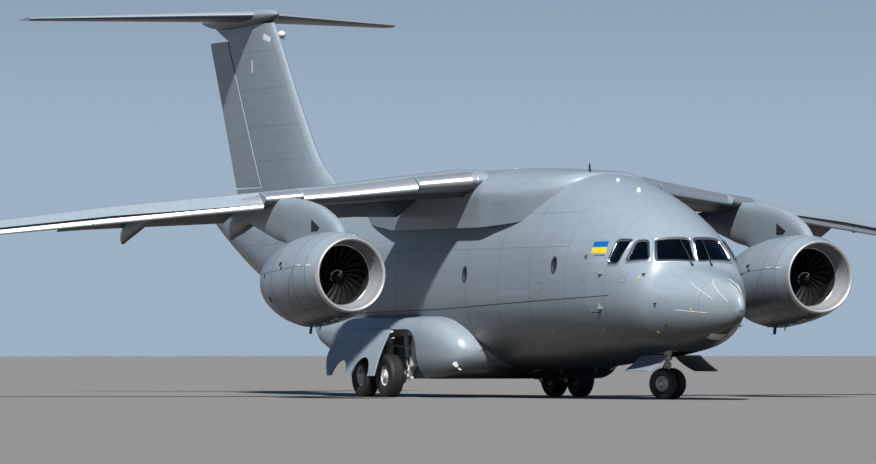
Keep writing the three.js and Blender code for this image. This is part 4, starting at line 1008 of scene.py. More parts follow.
# %% Slats, bright edges and seams
EDGE_STRIPS = ((1.9, 3.17), (5.71, 6.47), (13.63, 14.26))
RIBS = (3.2, 4.6, 7.4, 8.9, 10.35, 11.8)
for name, side in SIDES:
    for k, (run, start, end) in enumerate(SLAT_PANELS):
        rows = [slat_ring(SLATS[run], s, side) for s in np.linspace(start, end, 18)]
        placed(lay(f"slat_{name}_{k + 1}", rows), SATIN, "bare_metal", angle=50)
    for k, (start, end) in enumerate(EDGE_STRIPS):
        rows = [np.concatenate([wing_points(s, side, .005, .07), wing_points(s, side, -.012, .065)[::-1]])
                for s in np.linspace(start, end, 8)]
        placed(lay(f"edge_{name}_{k + 1}", rows), SATIN, "bare_metal", angle=50)
    spars = [(.6, False), (.6, True), (.22, True)]
    lines = [[wing_spot(s, share, side, below) for s in np.linspace(2.1, 13.6, 40)] for share, below in spars]
    lines += [[wing_spot(station, share, side, below) for share in np.linspace(.25, .7, 10)]
              for station in RIBS for below in (False, True)]
    placed(tube("wing_seams_" + name, lines, .0035), SEAL)

# %% [markdown]
# The shoulder fairing blends the wing into the body. Its sections are flat on top, round at the shoulder
# and steep at the side, and its front swells up out of the roof.

# %% Wing root fairing
FAIRING = curve([
    (9.62, .05, 5.0, 4.96, 5.22), (9.4, .62, 5.08, 4.84, 5.31), (9, 1.25, 5.12, 4.5, 5.352),
    (8, 1.64, 5.13, 4.18, 5.42),
    (6.8, 1.85, 5.25, 4.09, 5.465), (6.1, 1.95, 5.4, 4.06, 5.49), (1.3, 1.95, 5.4, 4.06, 5.48),
    (.3, 1.85, 5.25, 4.13, 5.46), (-1.6, 1.5, 5.12, 4.3, 5.435), (-3.6, .7, 5.1, 4.8, 5.37),
    (-4.3, .2, 5.2, 5.0, 5.33),
])


def fairing_ring(x):
    half, shoulder, foot, crown = FAIRING(x)[0]
    turn = np.linspace(0, math.pi, 96)
    middle = foot + (shoulder - foot) * .45
    y = half * bulged(np.cos(turn), 2 / 3.2)
    z = middle + (crown - middle) * bulged(np.sin(turn), 2 / 2.7)
    top = np.stack([np.full(len(turn), x), y, z], axis=1)
    feet = [(x, y, foot) for y in (-half, -half * .5, half * .5, half)]
    return np.concatenate([top, feet])


fairing = lay("wing_root_fairing_skin", [fairing_ring(x) for x in np.linspace(9.6, -4.25, 90)])
placed(fairing, PAINT, replaces=["wing_root_fairing"])

# %% [markdown]
# The tail: a swept fin with a rudder, and on its head a tailplane with elevators and a pod over the joint.
# Each moving part is cut from the fixed one's skin, with more room near its root, where it swings past its
# neighbours.

# %% Fin and rudder
FIN = [
    (5.15, -6.3, -13.87, .23), (5.52, -7.34, -14.04, .225), (6.08, -8.28, -14.3, .215),
    (6.86, -9.03, -14.668, .2), (7.98, -9.98, -15.192, .18), (9.19, -10.94, -15.79, .16),
    (9.35, -11.08, -15.866, .158), (9.72, -11.4, -15.5, .15),
]
RUDDER_ENDS, RUDDER_GAP, ABOVE_RUDDER = (5.4, 9.35), .095, .85
fin_at = curve(FIN)


def fin_ring(z):
    lead, trail, half = fin_at(z)[0]
    pairs = foil(lead - trail, 2 * half / (lead - trail), .006, 30)
    return np.stack([lead - pairs[:, 0], pairs[:, 1], np.full(len(pairs), z)], axis=1)


def hinge_x(z):
    return -12.03 - (z - 5.52) * (14.442 - 12.03) / (9.35 - 5.52)


def rudder_space(name, gap):
    corners = []
    for behind in (True, False):
        for y in (-.7, .7):
            for z in (RUDDER_ENDS[0] + gap * 7, RUDDER_ENDS[1] - gap):
                rise = ABOVE_RUDDER if behind and z > 9 and not gap else 0
                corners.append((-17 if behind else hinge_x(z) + (0 if gap else RUDDER_GAP), y, z + rise))
    return block_of(name, corners)


fin = lay("fin_skin", [fin_ring(z) for z in np.linspace(FIN[0][0], FIN[-1][0], 60)])
rudder = copied(fin, "rudder_skin")
boolean(rudder, rudder_space("rudder_form", CLEARANCE), "INTERSECT")
boolean(fin, rudder_space("rudder_hole", 0))
placed(fin, PAINT, replaces=["fin"])
placed(rudder, PAINT, body="rudder_body", replaces=["rudder"])

# %% [markdown]
# The tailplane is made as the wing is, from a small table. Both halves and the pod over the joint are one
# piece.

# %% Tailplane, elevators and pod
TAILPLANE = [(0, -11.95, 9.955, 3.05, .1), (1, -12.56, 9.945, 2.75, .1), (5.1, -15.3, 9.905, 1.16, .09),
             (5.25, -15.56, 9.903, .9, .08)]
ELEVATOR_ENDS, ELEVATOR_FRONT, ELEVATOR_GAP = (.42, 4.95), (-14.15, -16.08), .048
POD = curve([(-11.15, .02, 9.94, .02, .02), (-11.2, .06, 9.94, .05, .06), (-11.5, .17, 9.94, .13, .17),
             (-12.3, .3, 9.93, .2, .26), (-13.4, .33, 9.92, .212, .29), (-14.6, .3, 9.915, .19, .27),
             (-15.6, .19, 9.915, .13, .19), (-16.3, .07, 9.918, .05, .07), (-16.474, .02, 9.92, .02, .02)])


def tail_ring(station, side):
    x, z, chord, thick = between_rows(TAILPLANE, station)
    pairs = foil(chord, thick, .005, 24)
    return np.stack([x - pairs[:, 0], np.full(len(pairs), station * side), z + pairs[:, 1]], axis=1)


def elevator_x(station):
    (start, end), (front, far) = ELEVATOR_ENDS, ELEVATOR_FRONT
    return front - (station - start) * (front - far) / (end - start)


def elevator_space(name, side, gap):
    corners = []
    for behind in (True, False):
        for station in (ELEVATOR_ENDS[0] + gap * 4.5, ELEVATOR_ENDS[1] - gap * 2.5):
            x = -17.5 if behind else elevator_x(station) + (0 if gap else ELEVATOR_GAP)
            corners += [(x, station * side, z) for z in (9.4, 10.4)]
    return block_of(name, corners)


def pod_ring(x):
    half, z, over, under = POD(x)[0]
    turn = circle(48)
    s = np.sin(turn)
    return np.stack([np.full(48, x), half * np.cos(turn), z + np.where(s > 0, over, under) * s], axis=1)


tails = []
for name, side in SIDES:
    stab = lay("tailplane_" + name, [tail_ring(s, side) for s in np.linspace(0, TAILPLANE[-1][0], 30)])
    elevator = copied(stab, "elevator_skin_" + name)
    boolean(elevator, elevator_space("elevator_form", side, CLEARANCE), "INTERSECT")
    boolean(stab, elevator_space("elevator_hole", side, 0))
    placed(elevator, PLAIN, body=f"elevator_{name}_body", replaces=["elevator_" + name])
    tails.append(stab)
pod = lay("tail_pod", [pod_ring(x) for x in -11.15 - 5.32 * (1 - np.cos(np.linspace(0, math.pi, 50))) / 2])
placed(joined("tailplane_skin", *tails, pod), PAINT, replaces=["tailplane"])

# %% [markdown]
# An engine's cowl is a shell between two curves, one outside and one inside, laid as rings round the axis
# that hang a little lower towards the back. A plain spun shape would be too level, since the real one
# droops behind its intake.

# %% Cowls
ENGINE_Y, ENGINE_Z, LIP_X = 6.1, 2.9, 8.27
BACKWARDS = (-1, 0, 0)
COWL_OUT = [(.1, .8902), (.17, .905), (.45, .985), (.9, 1.045), (1.5, 1.08), (2.2, 1.085), (2.9, 1.005),
            (3.4, .885), (3.74, .79)]
COWL_IN = [(3.74, .765), (3.3, .762), (2.6, .74), (1.8, .716), (1.5, .706), (.7, .706), (.17, .768)]
# The cowl droops behind the intake, and the duct further back: depth, and where each starts and ends
SAG, SAG_OUTSIDE, SAG_INSIDE = .15, (.25, 2.8), (1.8, 3.7)


def engine_centre(side):
    return (LIP_X, ENGINE_Y * side, ENGINE_Z)


def fine(pairs, count):
    """A smooth line through (along, radius) pairs that follow one direction."""
    rows = sorted(pairs)
    shape = curve(rows)
    x = np.linspace(rows[0][0], rows[-1][0], count)
    return list(zip(x, shape(x)[:, 0]))


def flipped(pairs):
    """Pairs (along, radius) as the (radius, along) pairs that a turned form takes."""
    return [(radius, along) for along, radius in pairs]


def hang(along, span):
    """How far a ring hangs under the axis: nothing ahead of a span, all of it behind, and smooth between."""
    share = min(max((along - span[0]) / (span[1] - span[0]), 0), 1)
    return SAG * share * share * (3 - 2 * share)


def sagging(pairs, side, span, sides=96):
    """Rings round the engine's axis that hang lower from the front of a span to its back."""
    round_axis = rings(flipped(pairs), engine_centre(side), BACKWARDS, sides)
    return [ring - (0, 0, hang(along, span)) for (along, _), ring in zip(pairs, round_axis)]


for name, side in SIDES:
    outer = sagging(fine(COWL_OUT, 34), side, SAG_OUTSIDE)
    inner = sagging(fine(COWL_IN, 16)[::-1], side, SAG_INSIDE)
    cowl = lay("cowl_skin_" + name, outer + inner + outer[:1], cap=False)
    placed(cowl, COWL_PAINT, replaces=["cowl_" + name])

# %% [markdown]
# The intake's lip, its duct and the case round the fan are true rounds. Each is one closed line, drawn by
# extruding a point and spun round the axis, so that its wall has a thickness.

# %% Intakes
LIP_LINE = [(.1, .8902), (.09, .888), (.03, .87), (.007, .855), (0, .838), (.005, .822), (.015, .81),
            (.07, .786), (.17, .768), (.17, .79), (.12, .82), (.1, .87), (.1, .8902)]
DUCT_LINE = [(along, radius - .004) for along, radius in fine([(.16, .769), (.4, .735), (.62, .706)], 12)]
DUCT_LINE += [(.62, .706), (.62, .74), (.2, .8), DUCT_LINE[0]]
CASE_LINE = [(.625, .7), (1.5, .703), (1.5, .72), (.625, .72), (.625, .7)]
RING_LINE = [(.6, .7), (.606, .692), (.618, .692), (.625, .7), (.612, .71), (.6, .7)]
for name, side in SIDES:
    for label, line, look, slot, cad in (
            ("lip_skin_", LIP_LINE, LIP, "bare_metal", ["intake_lip_" + name]),
            ("duct_", DUCT_LINE, DUCT, "engine_steel", ()),
            ("fan_case_", CASE_LINE, SEAL, "engine_steel", ()),
            ("fan_case_ring_", RING_LINE, BARE, "bare_metal", ())):
        form = spun(label + name, flipped(line), engine_centre(side), BACKWARDS, 96)
        placed(form, look, slot, replaces=cad)

# %% [markdown]
# The core fills the middle of the cowl and ends in a cone. A ring of thin vanes behind the fan holds it.

# %% Cores
VANES, VANE_ENDS = 44, (.3, .7)
VANE_SECTION = ((1.45, 0), (1.5, .014), (1.62, .01), (1.75, 0), (1.62, -.01), (1.5, -.014))
CORE_LINE = fine([(1.18, .2), (1.3, .4), (2.3, .47), (3.0, .43), (3.5, .33)], 20)
CORE_LINE += [(3.5, .3), (3.4, .3), (3.42, .25), (3.55, .21), (3.7, .14), (3.86, .05), (3.88, .001)]


def vane(centre, turn):
    c, s = math.cos(turn), math.sin(turn)
    ends = []
    for r in VANE_ENDS:
        ends.append([Vector(centre) + Vector((-b, c * r - s * w, s * r + c * w)) for b, w in VANE_SECTION])
    return lay("vane", ends)


for name, side in SIDES:
    centre = engine_centre(side)
    core = lay("core_" + name, rings(flipped(CORE_LINE), centre, BACKWARDS, 64))
    vanes = [vane(centre, t) for t in circle(VANES)]
    placed(joined("core_skin_" + name, core, *vanes), STEEL, "engine_steel", replaces=["engine_core_" + name])

# %% [markdown]
# The fan turns. Its blades are streamlined sections that twist from steep at the root to flat at the tip,
# and a white spiral on the spinner shows people on the ground that it is running.

# %% Fans
FAN_RADIUS, ROOT_RADIUS, BLADES, BLADE_X = .69, .19, 22, .94
HUB_LINE = fine([(.64, .002), (.66, .035), (.7, .075), (.8, .135), (.9, .178), (1.0, .205), (1.1, .222)], 24)
HUB_BACK = (1.14, .1)
SPIRAL_STARTS, SPIRAL_LENGTH, SPIRAL_TURN = .68, .36, 4.6


def blade_section(r):
    """A ring of points round a blade at a radius: it leans and twists more the further out it lies."""
    share = (r - ROOT_RADIUS) / (FAN_RADIUS - ROOT_RADIUS)
    stagger, lean = math.radians(28 + 34 * share), .06 * share ** 2
    chord = .2 + .06 * math.sin(share * 2.4)
    points = []
    for b, up in foil(chord, .1 - .06 * share, .001, 9):
        b -= chord / 2
        along = b * math.cos(stagger) - up * math.sin(stagger)
        angle = (b * math.sin(stagger) + up * math.cos(stagger) + lean) / r
        points.append((-BLADE_X - along, r * math.sin(angle), r * math.cos(angle)))
    return points


def spiral_point(side, share):
    b, a = SPIRAL_STARTS + SPIRAL_LENGTH * share, 1.0 + SPIRAL_TURN * share
    r = float(np.interp(b, *zip(*HUB_LINE))) + .002
    return (LIP_X - b, ENGINE_Y * side + r * math.cos(a), ENGINE_Z + r * math.sin(a))


blade = np.array([blade_section(r) for r in np.linspace(ROOT_RADIUS, FAN_RADIUS, 12)])
for name, side in SIDES:
    body, centre = f"fan_{name}_body", engine_centre(side)
    hub = lay("spinner_" + name, rings(flipped(HUB_LINE + [HUB_BACK]), centre, BACKWARDS, 64))
    placed(hub, DARK_METAL, "fan_metal", body, ["fan_" + name])
    blades = []
    for k in range(BLADES):
        t = 2 * math.pi * k / BLADES
        turn = np.array([[1, 0, 0], [0, math.cos(t), -math.sin(t)], [0, math.sin(t), math.cos(t)]])
        blades.append(lay("blade", blade @ turn.T + np.array(centre)))
    placed(joined("fan_blades_" + name, *blades), DARK_METAL, "fan_metal", body)
    spiral = [spiral_point(side, share) for share in np.linspace(0, 1, 40)]
    placed(tube("spinner_spiral_" + name, [spiral], .016), WHITE, body=body)

# %% [markdown]
# Each pylon is a fat rounded beak that starts on top of the cowl and runs back past the wing's leading
# edge. The cowl's own form is cut out of it, so that the two meet along a clean line.

# %% Pylons
PYLON = curve([
    (8.05, .03, 3.62, 3.5), (7.7, .12, 3.96, 3.4), (7.4, .155, 4.18, 3.3), (6.9, .175, 4.39, 3.3),
    (6.4, .185, 4.54, 3.3), (5.2, .19, 4.72, 3.3), (4.85, .19, 4.745, 3.4), (4.5, .185, 4.76, 3.65),
    (3.9, .18, 4.76, 3.75), (3.5, .175, 4.76, 3.84), (2.3, .15, 4.65, 4.13)])


def pylon_ring(x, side):
    half, top, low = PYLON(x)[0]
    turn = circle(48)
    y = ENGINE_Y * side + half * bulged(np.cos(turn), .62)
    z = (top + low) / 2 + (top - low) / 2 * bulged(np.sin(turn), .8)
    return np.stack([np.full(48, x), y, z], axis=1)


HOLLOW = [(.02, .74)] + [(along, radius - .02) for along, radius in fine(COWL_OUT, 24)] + [(3.76, .77)]
for name, side in SIDES:
    pylon = lay("pylon_skin_" + name, [pylon_ring(x, side) for x in np.linspace(8.04, 2.3, 60)])
    boolean(pylon, lay("cowl_form", sagging(HOLLOW, side, SAG_OUTSIDE, 64)))
    placed(pylon, PLAIN, replaces=["pylon_" + name])

# %% [markdown]
# The sponsons hold the main wheels. They are bulged boxes with round edges, open at the side over the
# wheels. A near-black sheet at the back of each well is painted shade.

# %% Sponsons
SPONSON = curve([
    (5.46, 1.75, 1.18, .98, 1.2), (5.42, 1.9, 1.25, .92, 1.0), (5.33, 2.08, 1.42, .76, .4),
    (5.15, 2.23, 1.57, .62, 0), (4.8, 2.37, 1.75, .52, 0), (4.3, 2.47, 1.88, .46, 0),
    (3.7, 2.52, 1.93, .45, 0), (-.1, 2.52, 1.93, .45, 0),
    (-.7, 2.515, 1.93, .69, 0), (-2.5, 2.43, 1.91, 1.25, 0), (-2.7, 2.39, 1.905, 1.33, 1.48),
    (-3.6, 2.08, 1.89, 1.74, 1.48), (-4.2, 1.78, 1.87, 1.81, 1.48)])
SHOULDER, SPONSON_POWER = .42, 2.4
# The wheel well's opening in the side, as X and Z round its edge
WELL = [(-.05, .1), (-.05, 1.2), (.2, 1.64), (3.25, 1.65), (3.72, 1.4), (3.86, .1)]


def sponson_ring(x, side):
    out, top, low, inner = SPONSON(x)[0]
    inner = max(inner, .0003)
    middle = (top + low) / 2 - .03
    turn = np.linspace(-math.pi / 2, math.pi / 2, 60)
    c, s = np.cos(turn), np.sin(turn)
    y = out - SHOULDER + SHOULDER * bulged(c, 2 / SPONSON_POWER)
    z = middle + np.where(s > 0, top - middle, middle - low) * bulged(s, 2 / SPONSON_POWER)
    roof = max(1.3, inner + .02)
    points = [(x, inner, low)] + list(zip(np.full(60, x), y, z)) + [(x, roof, top + .1), (x, inner, top)]
    return np.array(points) * (1, side, 1)


for name, side in SIDES:
    sponson = lay("sponson_skin_" + name, [sponson_ring(x, side) for x in np.linspace(5.45, -4.2, 120)])
    boolean(sponson, solid_body("body_form", 8, -8, .5), solver="FAST")
    edge = rounded([(x, 0, z) for x, z in WELL], .3)
    boolean(sponson, lay("well_space", [edge + (0, y * side, 0) for y in (1.8, 3.2)]))
    placed(sponson, PAINT, replaces=["sponson_" + name])
    # Painted shade: a near-black sheet lines the back of each well, standing in for the shade inside it.
    back_wall = rounded([(x, 0, z) for x, z in WELL[1:-1]] + [(3.8, 0, .55), (0, 0, .55)], .28)
    lining = lay("well_shade_sheet_" + name, [back_wall * (1, 0, 1) + (0, y * side, 0) for y in (1.55, 1.795)])
    placed(lining, SEAL, "cabin_lining")

# %% [markdown]
# Wheels: the tyre's tread has four grooves, and its sidewall bulges. The rim is a cast dish with a ring of
# bolts. One helper makes every wheel, because only the sizes differ.

# %% Wheels
GROOVES, BOLTS = 4, 10
# The rim's dish, from the bead to the hub: share of the rim's radius, more radius, and depth from the side
DISH_STEPS = ((1, 0, .05), (1, -.015, .045), (1, -.03, .07), (.72, 0, .1), (.5, 0, .06), (.38, 0, .03),
              (.36, 0, .03))


def tyre_line(radius, half, rim):
    """A tyre's closed profile: the sidewall, the grooved tread, and the same sidewall back."""
    tread = radius - .0005
    wall_line = [(rim, -half + .05), (rim + .03, -half + .02), (rim + .09, -half + .004),
                 (radius * .84, -half), (radius - .05, -half + .012), (radius - .018, -half + .035),
                 (radius - .005, -half + .07)]
    line = list(wall_line)
    for g in np.linspace(-half + .1, half - .1, GROOVES):
        line += [(tread, g - .009), (tread - .012, g - .006), (tread - .012, g + .006), (tread, g + .009)]
    return line + [(r, -along) for r, along in wall_line[::-1]] + [(rim, 0), line[0]]


def dish_line(half, rim, sign):
    """One side of a rim's profile, from the bead down to the hub."""
    return [(rim * share + more, sign * (half - depth)) for share, more, depth in DISH_STEPS]


def wheel(label, body, centre, axle, radius, width, rim, tyre_cad, rim_cad):
    half = width / 2
    tyre = spun(label + "_tyre", tyre_line(radius, half, rim), centre, axle, 96)
    placed(tyre, RUBBER, "tyre_rubber", body, [tyre_cad], 40)
    dish = dish_line(half, rim, -1) + dish_line(half, rim, 1)[::-1]
    hub = spun(label + "_rim", dish + dish[:1], centre, axle, 72)
    a, u, v = frame_of(axle)
    bolts = []
    for sign in (-1, 1):
        for k in range(BOLTS):
            t = 2 * math.pi * (k + .5) / BOLTS
            at = Vector(centre) + (u * math.cos(t) + v * math.sin(t)) * rim * .62 + a * sign * (half - .095)
            bolts.append(rod("bolt", at, at + a * sign * .03, .014, sides=6))
        low, high = (Vector(centre) + a * sign * (half - depth) for depth in (.06, .012))
        bolts.append(rod("cap", low, high, rim * .36, rim * .3, 32))
    placed(joined(label + "_rim", hub, *bolts), RIM, "wheel_rim", body, [rim_cad])


MAIN_WHEELS = (("front", 2.23), ("rear", .72))
MAIN_Y, MAIN_RADIUS, MAIN_WIDTH, MAIN_RIM = 2.54, .52, .37, .25
for name, side in SIDES:
    for end, x in MAIN_WHEELS:
        where = f"{name}_{end}"
        wheel("main_" + where, "wheel_" + where, (x, MAIN_Y * side, MAIN_RADIUS), (0, 1, 0), MAIN_RADIUS,
              MAIN_WIDTH, MAIN_RIM, "main_tyre_" + where, "main_rim_" + where)

# %% [markdown]
# The nose wheels stand turned to one side, so their axle is turned with them.

# %% Nose wheels
NOSE_LEG_X, NOSE_RADIUS, NOSE_WIDTH, NOSE_RIM, NOSE_HALF_TRACK = 12.56, .365, .2, .175, .185
STEER = math.radians(30)
STEER_AXIS = (-math.sin(STEER), math.cos(STEER), 0)
for name, side in SIDES:
    centre = Vector((NOSE_LEG_X, 0, NOSE_RADIUS)) + Vector(STEER_AXIS) * NOSE_HALF_TRACK * side
    wheel("nose_" + name, "nose_wheels", tuple(centre), STEER_AXIS, NOSE_RADIUS, NOSE_WIDTH, NOSE_RIM,
          "nose_tyre_" + name, "nose_rim_" + name)

# %% [markdown]
# The main legs are pairs of trailing arms: a strut from the body, an arm back to the axle and a damper that
# takes the landing. They are round bars, so each is one rod with softened rims.

# %% Main legs
LEG_Y, AXLE_OUT = 2.01, 2.72
for name, side in SIDES:
    y = LEG_Y * side
    pieces = [block("beam", (.27, y - .09, 1.48), (2.93, y + .09, 1.639), .02)]
    for _, x in MAIN_WHEELS:
        pieces.append(rod("strut", (x + .33, y, 1.54), (x + .25, y, .76), .085))
        pieces.append(rod("arm", (x + .25, y, .8), (x, y, MAIN_RADIUS), .075))
        inner_end, outer_end = ((x, reach, MAIN_RADIUS) for reach in (y - .06 * side, AXLE_OUT * side))
        pieces.append(rod("axle", inner_end, outer_end, .0602, sides=32))
        pieces.append(rod("damper", (x - .06, y, .62), (x - .25, y, 1.54), .045))
        pieces.append(rod("sleeve", (x - .13, y, .95), (x - .245, y, 1.5), .062))
        pieces.append(rod("knuckle", (x + .26, y - .1, .79), (x + .26, y + .1, .79), .07))
    placed(joined("main_legs_skin_" + name, *pieces), LEG, "leg_paint", replaces=["main_legs_" + name])

# %% [markdown]
# The door of the main gear hangs from the sponson's edge and is arched over each wheel, so that the tyres
# clear it. It is a bowed sheet: every row runs along its outer face and back along its inner one.

# %% Main gear doors
DOOR_TOP, DOOR_FOOT, DOOR_Y, DOOR_FOOT_Y, DOOR_BOW = 1.64, .52, 2.53, 3.06, .04
REAR_EDGE = curve([(1.64, .25), (1.555, -.39), (1.45, -.74), (1.28, -.81), (1.08, -.85), (.8, -.69),
                   (.52, -.4)])
ARCHES = ((1.58, .42, .55), (.26, .45, .45))


def there_and_back(front, back, thickness, count):
    """A sheet's row: X and depth from front to back on one face, then from back to front on the other."""
    there, return_way = np.linspace(front, back, count), np.linspace(back, front, count)
    return [(x, 0) for x in there] + [(x, thickness) for x in return_way]


for name, side in SIDES:
    rows = []
    for share in np.linspace(0, 1, 30):
        z = DOOR_TOP + (DOOR_FOOT - DOOR_TOP) * share
        y = DOOR_Y + (DOOR_FOOT_Y - DOOR_Y) * share + DOOR_BOW * math.sin(math.pi * share)
        ends = 2.3 + .19 * share, float(REAR_EDGE(z)[0, 0])
        rows.append([(x, (y + depth) * side, z) for x, depth in there_and_back(*ends, .04, 60)])
    leaf = lay("main_gear_door_" + name + "_leaf", rows)
    for x, z, radius in ARCHES:
        boolean(leaf, rod("arch", (x, 2 * side, z), (x, 3.6 * side, z), radius, sides=96, soft=.01))
    arms = []
    for x in (2.15, .45):
        arms.append(rod("arm", (x, 2.4 * side, 1.6), (x, 2.56 * side, 1.55), .03))
        arms.append(rod("link", (x - .1, 2.3 * side, 1.45), (x - .1, 2.66 * side, 1.38), .018))
    placed(joined("main_gear_door_" + name + "_arms", *arms), LEG, "leg_paint")
    placed(leaf, PLAIN, replaces=["main_gear_door_" + name])

# %% [markdown]
# The nose leg: a cylinder that stays, and a fork that steers with the axle. The fork's parts are placed as
# if the wheels pointed ahead, and then turned with them.

# %% Nose leg
COS_STEER, SIN_STEER = math.cos(STEER), math.sin(STEER)
STEER_TURN = np.array([[COS_STEER, -SIN_STEER, 0], [SIN_STEER, COS_STEER, 0], [0, 0, 1]])


def steered(x, y, z):
    """A point of the nose leg, given for wheels that point ahead, turned as the wheels stand."""
    return tuple(STEER_TURN @ (x, y, z) + (NOSE_LEG_X, 0, 0))


hoses = [[(12.66, .03, 1.6), (12.68, .04, 1.4), (12.66, .05, 1.2), (12.64, .05, 1.02)],
         [(12.66, -.03, 1.6), (12.69, -.04, 1.4), (12.67, -.05, 1.2), (12.64, -.05, 1.02)]]
strut = [rod("cylinder", (NOSE_LEG_X, 0, 1.749), (NOSE_LEG_X, 0, .9), .08, sides=32),
         rod("collar", (NOSE_LEG_X, 0, 1.0), (NOSE_LEG_X, 0, .92), .1, sides=32),
         rod("brace", (12.54, 0, 1.25), (12.0, 0, 1.7), .045),
         block("trunnion", (12.47, -.4195, 1.5), (12.65, .4195, 1.62), .03),
         tube("hose", hoses, .011)]
placed(joined("nose_strut_skin", *strut), LEG, "leg_paint", replaces=["nose_strut"])
fork = [rod("piston", steered(0, 0, .8997), steered(0, 0, .42), .058, sides=32),
        rod("steer_collar", steered(0, 0, .86), steered(0, 0, .74), .085, sides=32),
        rod("hub_block", steered(0, -.09, NOSE_RADIUS), steered(0, .09, NOSE_RADIUS), .085, sides=32),
        rod("axle", steered(0, -.29, NOSE_RADIUS), steered(0, .29, NOSE_RADIUS), .0402, sides=32),
        rod("upper_link", steered(-.07, 0, .82), steered(-.22, 0, .62), .024),
        rod("lower_link", steered(-.22, 0, .62), steered(-.05, 0, .4), .024),
        rod("link_pin", steered(-.22, -.06, .62), steered(-.22, .06, .62), .016)]
placed(joined("nose_fork_skin", *fork), LEG, "leg_paint", "nose_steering", ["nose_fork"])

# %% [markdown]
# The nose gear's doors hang open at both sides of the leg. They are made as the main doors are, and the
# body's form is cut off them, so that they end at the skin.

# %% Nose gear doors
for name, side in SIDES:
    rows = []
    for share in np.linspace(0, 1, 14):
        y, z = .41 + .49 * share, 1.0 - .35 * share - .03 * math.sin(math.pi * share)
        ends = 13.45 - .1 * share ** 3, 12.05 + .1 * share ** 3
        rows.append([(x, y * side, z + depth) for x, depth in there_and_back(*ends, .025, 20)])
    leaf = lay("nose_gear_door_" + name + "_leaf", rows)
    boolean(leaf, solid_body("body_form", 14, 11.5, .3))
    placed(leaf, PLAIN, replaces=["nose_gear_door_" + name])

# %% [markdown]
# Small marks and fittings are thin plates that follow the skin under them. A surface is a function of two
# numbers, so one helper can lay a plate on the body, on a cowl or on the fin, and tables say where each
# plate lies.

# %% Plates that follow a surface
COWL_LINE = curve(COWL_OUT)
PLATE_STEPS, PLATE_SINK = 8, .008


def plate(name, surface, corners, inside, lift=.004):
    """A thin plate on a surface. corners are four pairs for the surface; inside is a point behind it."""
    a, b, c, d = (np.array(p, float) for p in corners)
    share = np.linspace(0, 1, PLATE_STEPS)
    rows = []
    for t in share:
        rows.append([surface(*((a + (b - a) * s) * (1 - t) + (d + (c - d) * s) * t)) for s in share])
    grid = np.array(rows)
    normal = unit(np.cross(np.gradient(grid, axis=0), np.gradient(grid, axis=1)))
    away = np.sign((normal * (grid - np.asarray(inside, float))).sum(axis=-1, keepdims=True))
    top, under = grid + normal * away * lift, grid - normal * away * PLATE_SINK
    return lay(name, np.concatenate([top, under[:, ::-1]], axis=1))


def rectangle(x, z, a, b):
    """The corners of a rectangle on a surface, from its middle and its half sizes."""
    return [(x - a, z - b), (x + a, z - b), (x + a, z + b), (x - a, z + b)]


def on_body(side, out=0.0):
    return lambda x, z: (x, (skin_half(x, z) + out) * side, z)


def on_cowl(side, outboard=1):
    """The cowl's skin by X and the angle in degrees above the level of the axis."""
    def surface(x, angle):
        r, a = float(COWL_LINE(LIP_X - x)[0, 0]), math.radians(angle)
        y = ENGINE_Y + outboard * r * math.cos(a)
        return (x, y * side, ENGINE_Z - hang(LIP_X - x, SAG_OUTSIDE) + r * math.sin(a))
    return surface


def on_fin(side):
    def surface(x, z):
        lead, trail, half = fin_at(z)[0]
        share = min(max((lead - x) / (lead - trail), 0), 1)
        return (x, (float(foil_half(share)) * 2 * half + .006 * share) * side, z)
    return surface


def line_on(surface, points, count=24):
    """A line of points on a surface, through pairs."""
    p = np.array(points, float)
    share = np.linspace(0, len(p) - 1, count)
    pairs = [np.interp(share, range(len(p)), p[:, i]) for i in (0, 1)]
    return [surface(u, v) for u, v in zip(*pairs)]


print("plates of", PLATE_STEPS, "by", PLATE_STEPS, "points")

# %% [markdown]
# The flag by the flight deck is two thin plates, one above the other, that follow the skin and stand a few
# millimetres proud of it.

# %% The flag
FLAG = [(11.94, 3.38), (12.52, 3.37), (12.45, 3.65), (11.92, 3.64)]
FLAG_MIDDLE = [(11.93, 3.51), (12.485, 3.51)]
FORWARD_INSIDE = (12, 0, 2.6)
for name, side in SIDES:
    for label, corners, look in (("flag_low_", FLAG[:2] + FLAG_MIDDLE[::-1], FLAG_YELLOW),
                                 ("flag_high_", FLAG_MIDDLE + FLAG[2:], FLAG_BLUE)):
        placed(plate(label + name, on_body(side), corners, FORWARD_INSIDE, .003), look)

# %% [markdown]
# A body is built of panels, and sealant fills their joints. Hoops run round it, rails along it, and a wider
# seam runs low along the side. They are thin round lines laid on the skin, half sunk in it.

# %% Seams and hoops of the body
HOOPS = (15.4, 12.72, 10.9, 9.1, 7.3, 5.4, 1.2, -1.0, -2.9, -4.7, -8.5, -10.6, -12.4)
RAILS = ((2.9, 10.9, 4.35), (-2.9, 10.9, 3.55), (-10.6, -2.9, 4.6), (-10.6, -2.9, 3.85))
SIDE_SEAM = [(-1.8, 2.05), (3.81, 2.13), (11.89, 2.36), (12.9, 2.4)]
WAIST = 2.6


def height_at(x, which, shift):
    return float(body_at(x)[0][which]) + shift


for name, side in SIDES:
    skin = on_body(side)
    lines = [line_on(skin, [(a, z), (b, z)], 60) for a, b, z in RAILS]
    for x in HOOPS:
        lines.append(line_on(skin, [(x, max(WAIST, height_at(x, 2, .02))), (x, height_at(x, 1, -.02))], 40))
        if x > AFT_JOINT:
            lines.append(line_on(skin, [(x, height_at(x, 2, .02)), (x, WAIST)], 40))
    placed(tube("body_seams_" + name, lines, .002), SEAL)
    placed(tube("side_seam_" + name, [line_on(on_body(side, .001), SIDE_SEAM, 80)], .007), SEAL)

# %% [markdown]
# Hatches are plates a few millimetres proud of the skin, each with a dark seam round it.

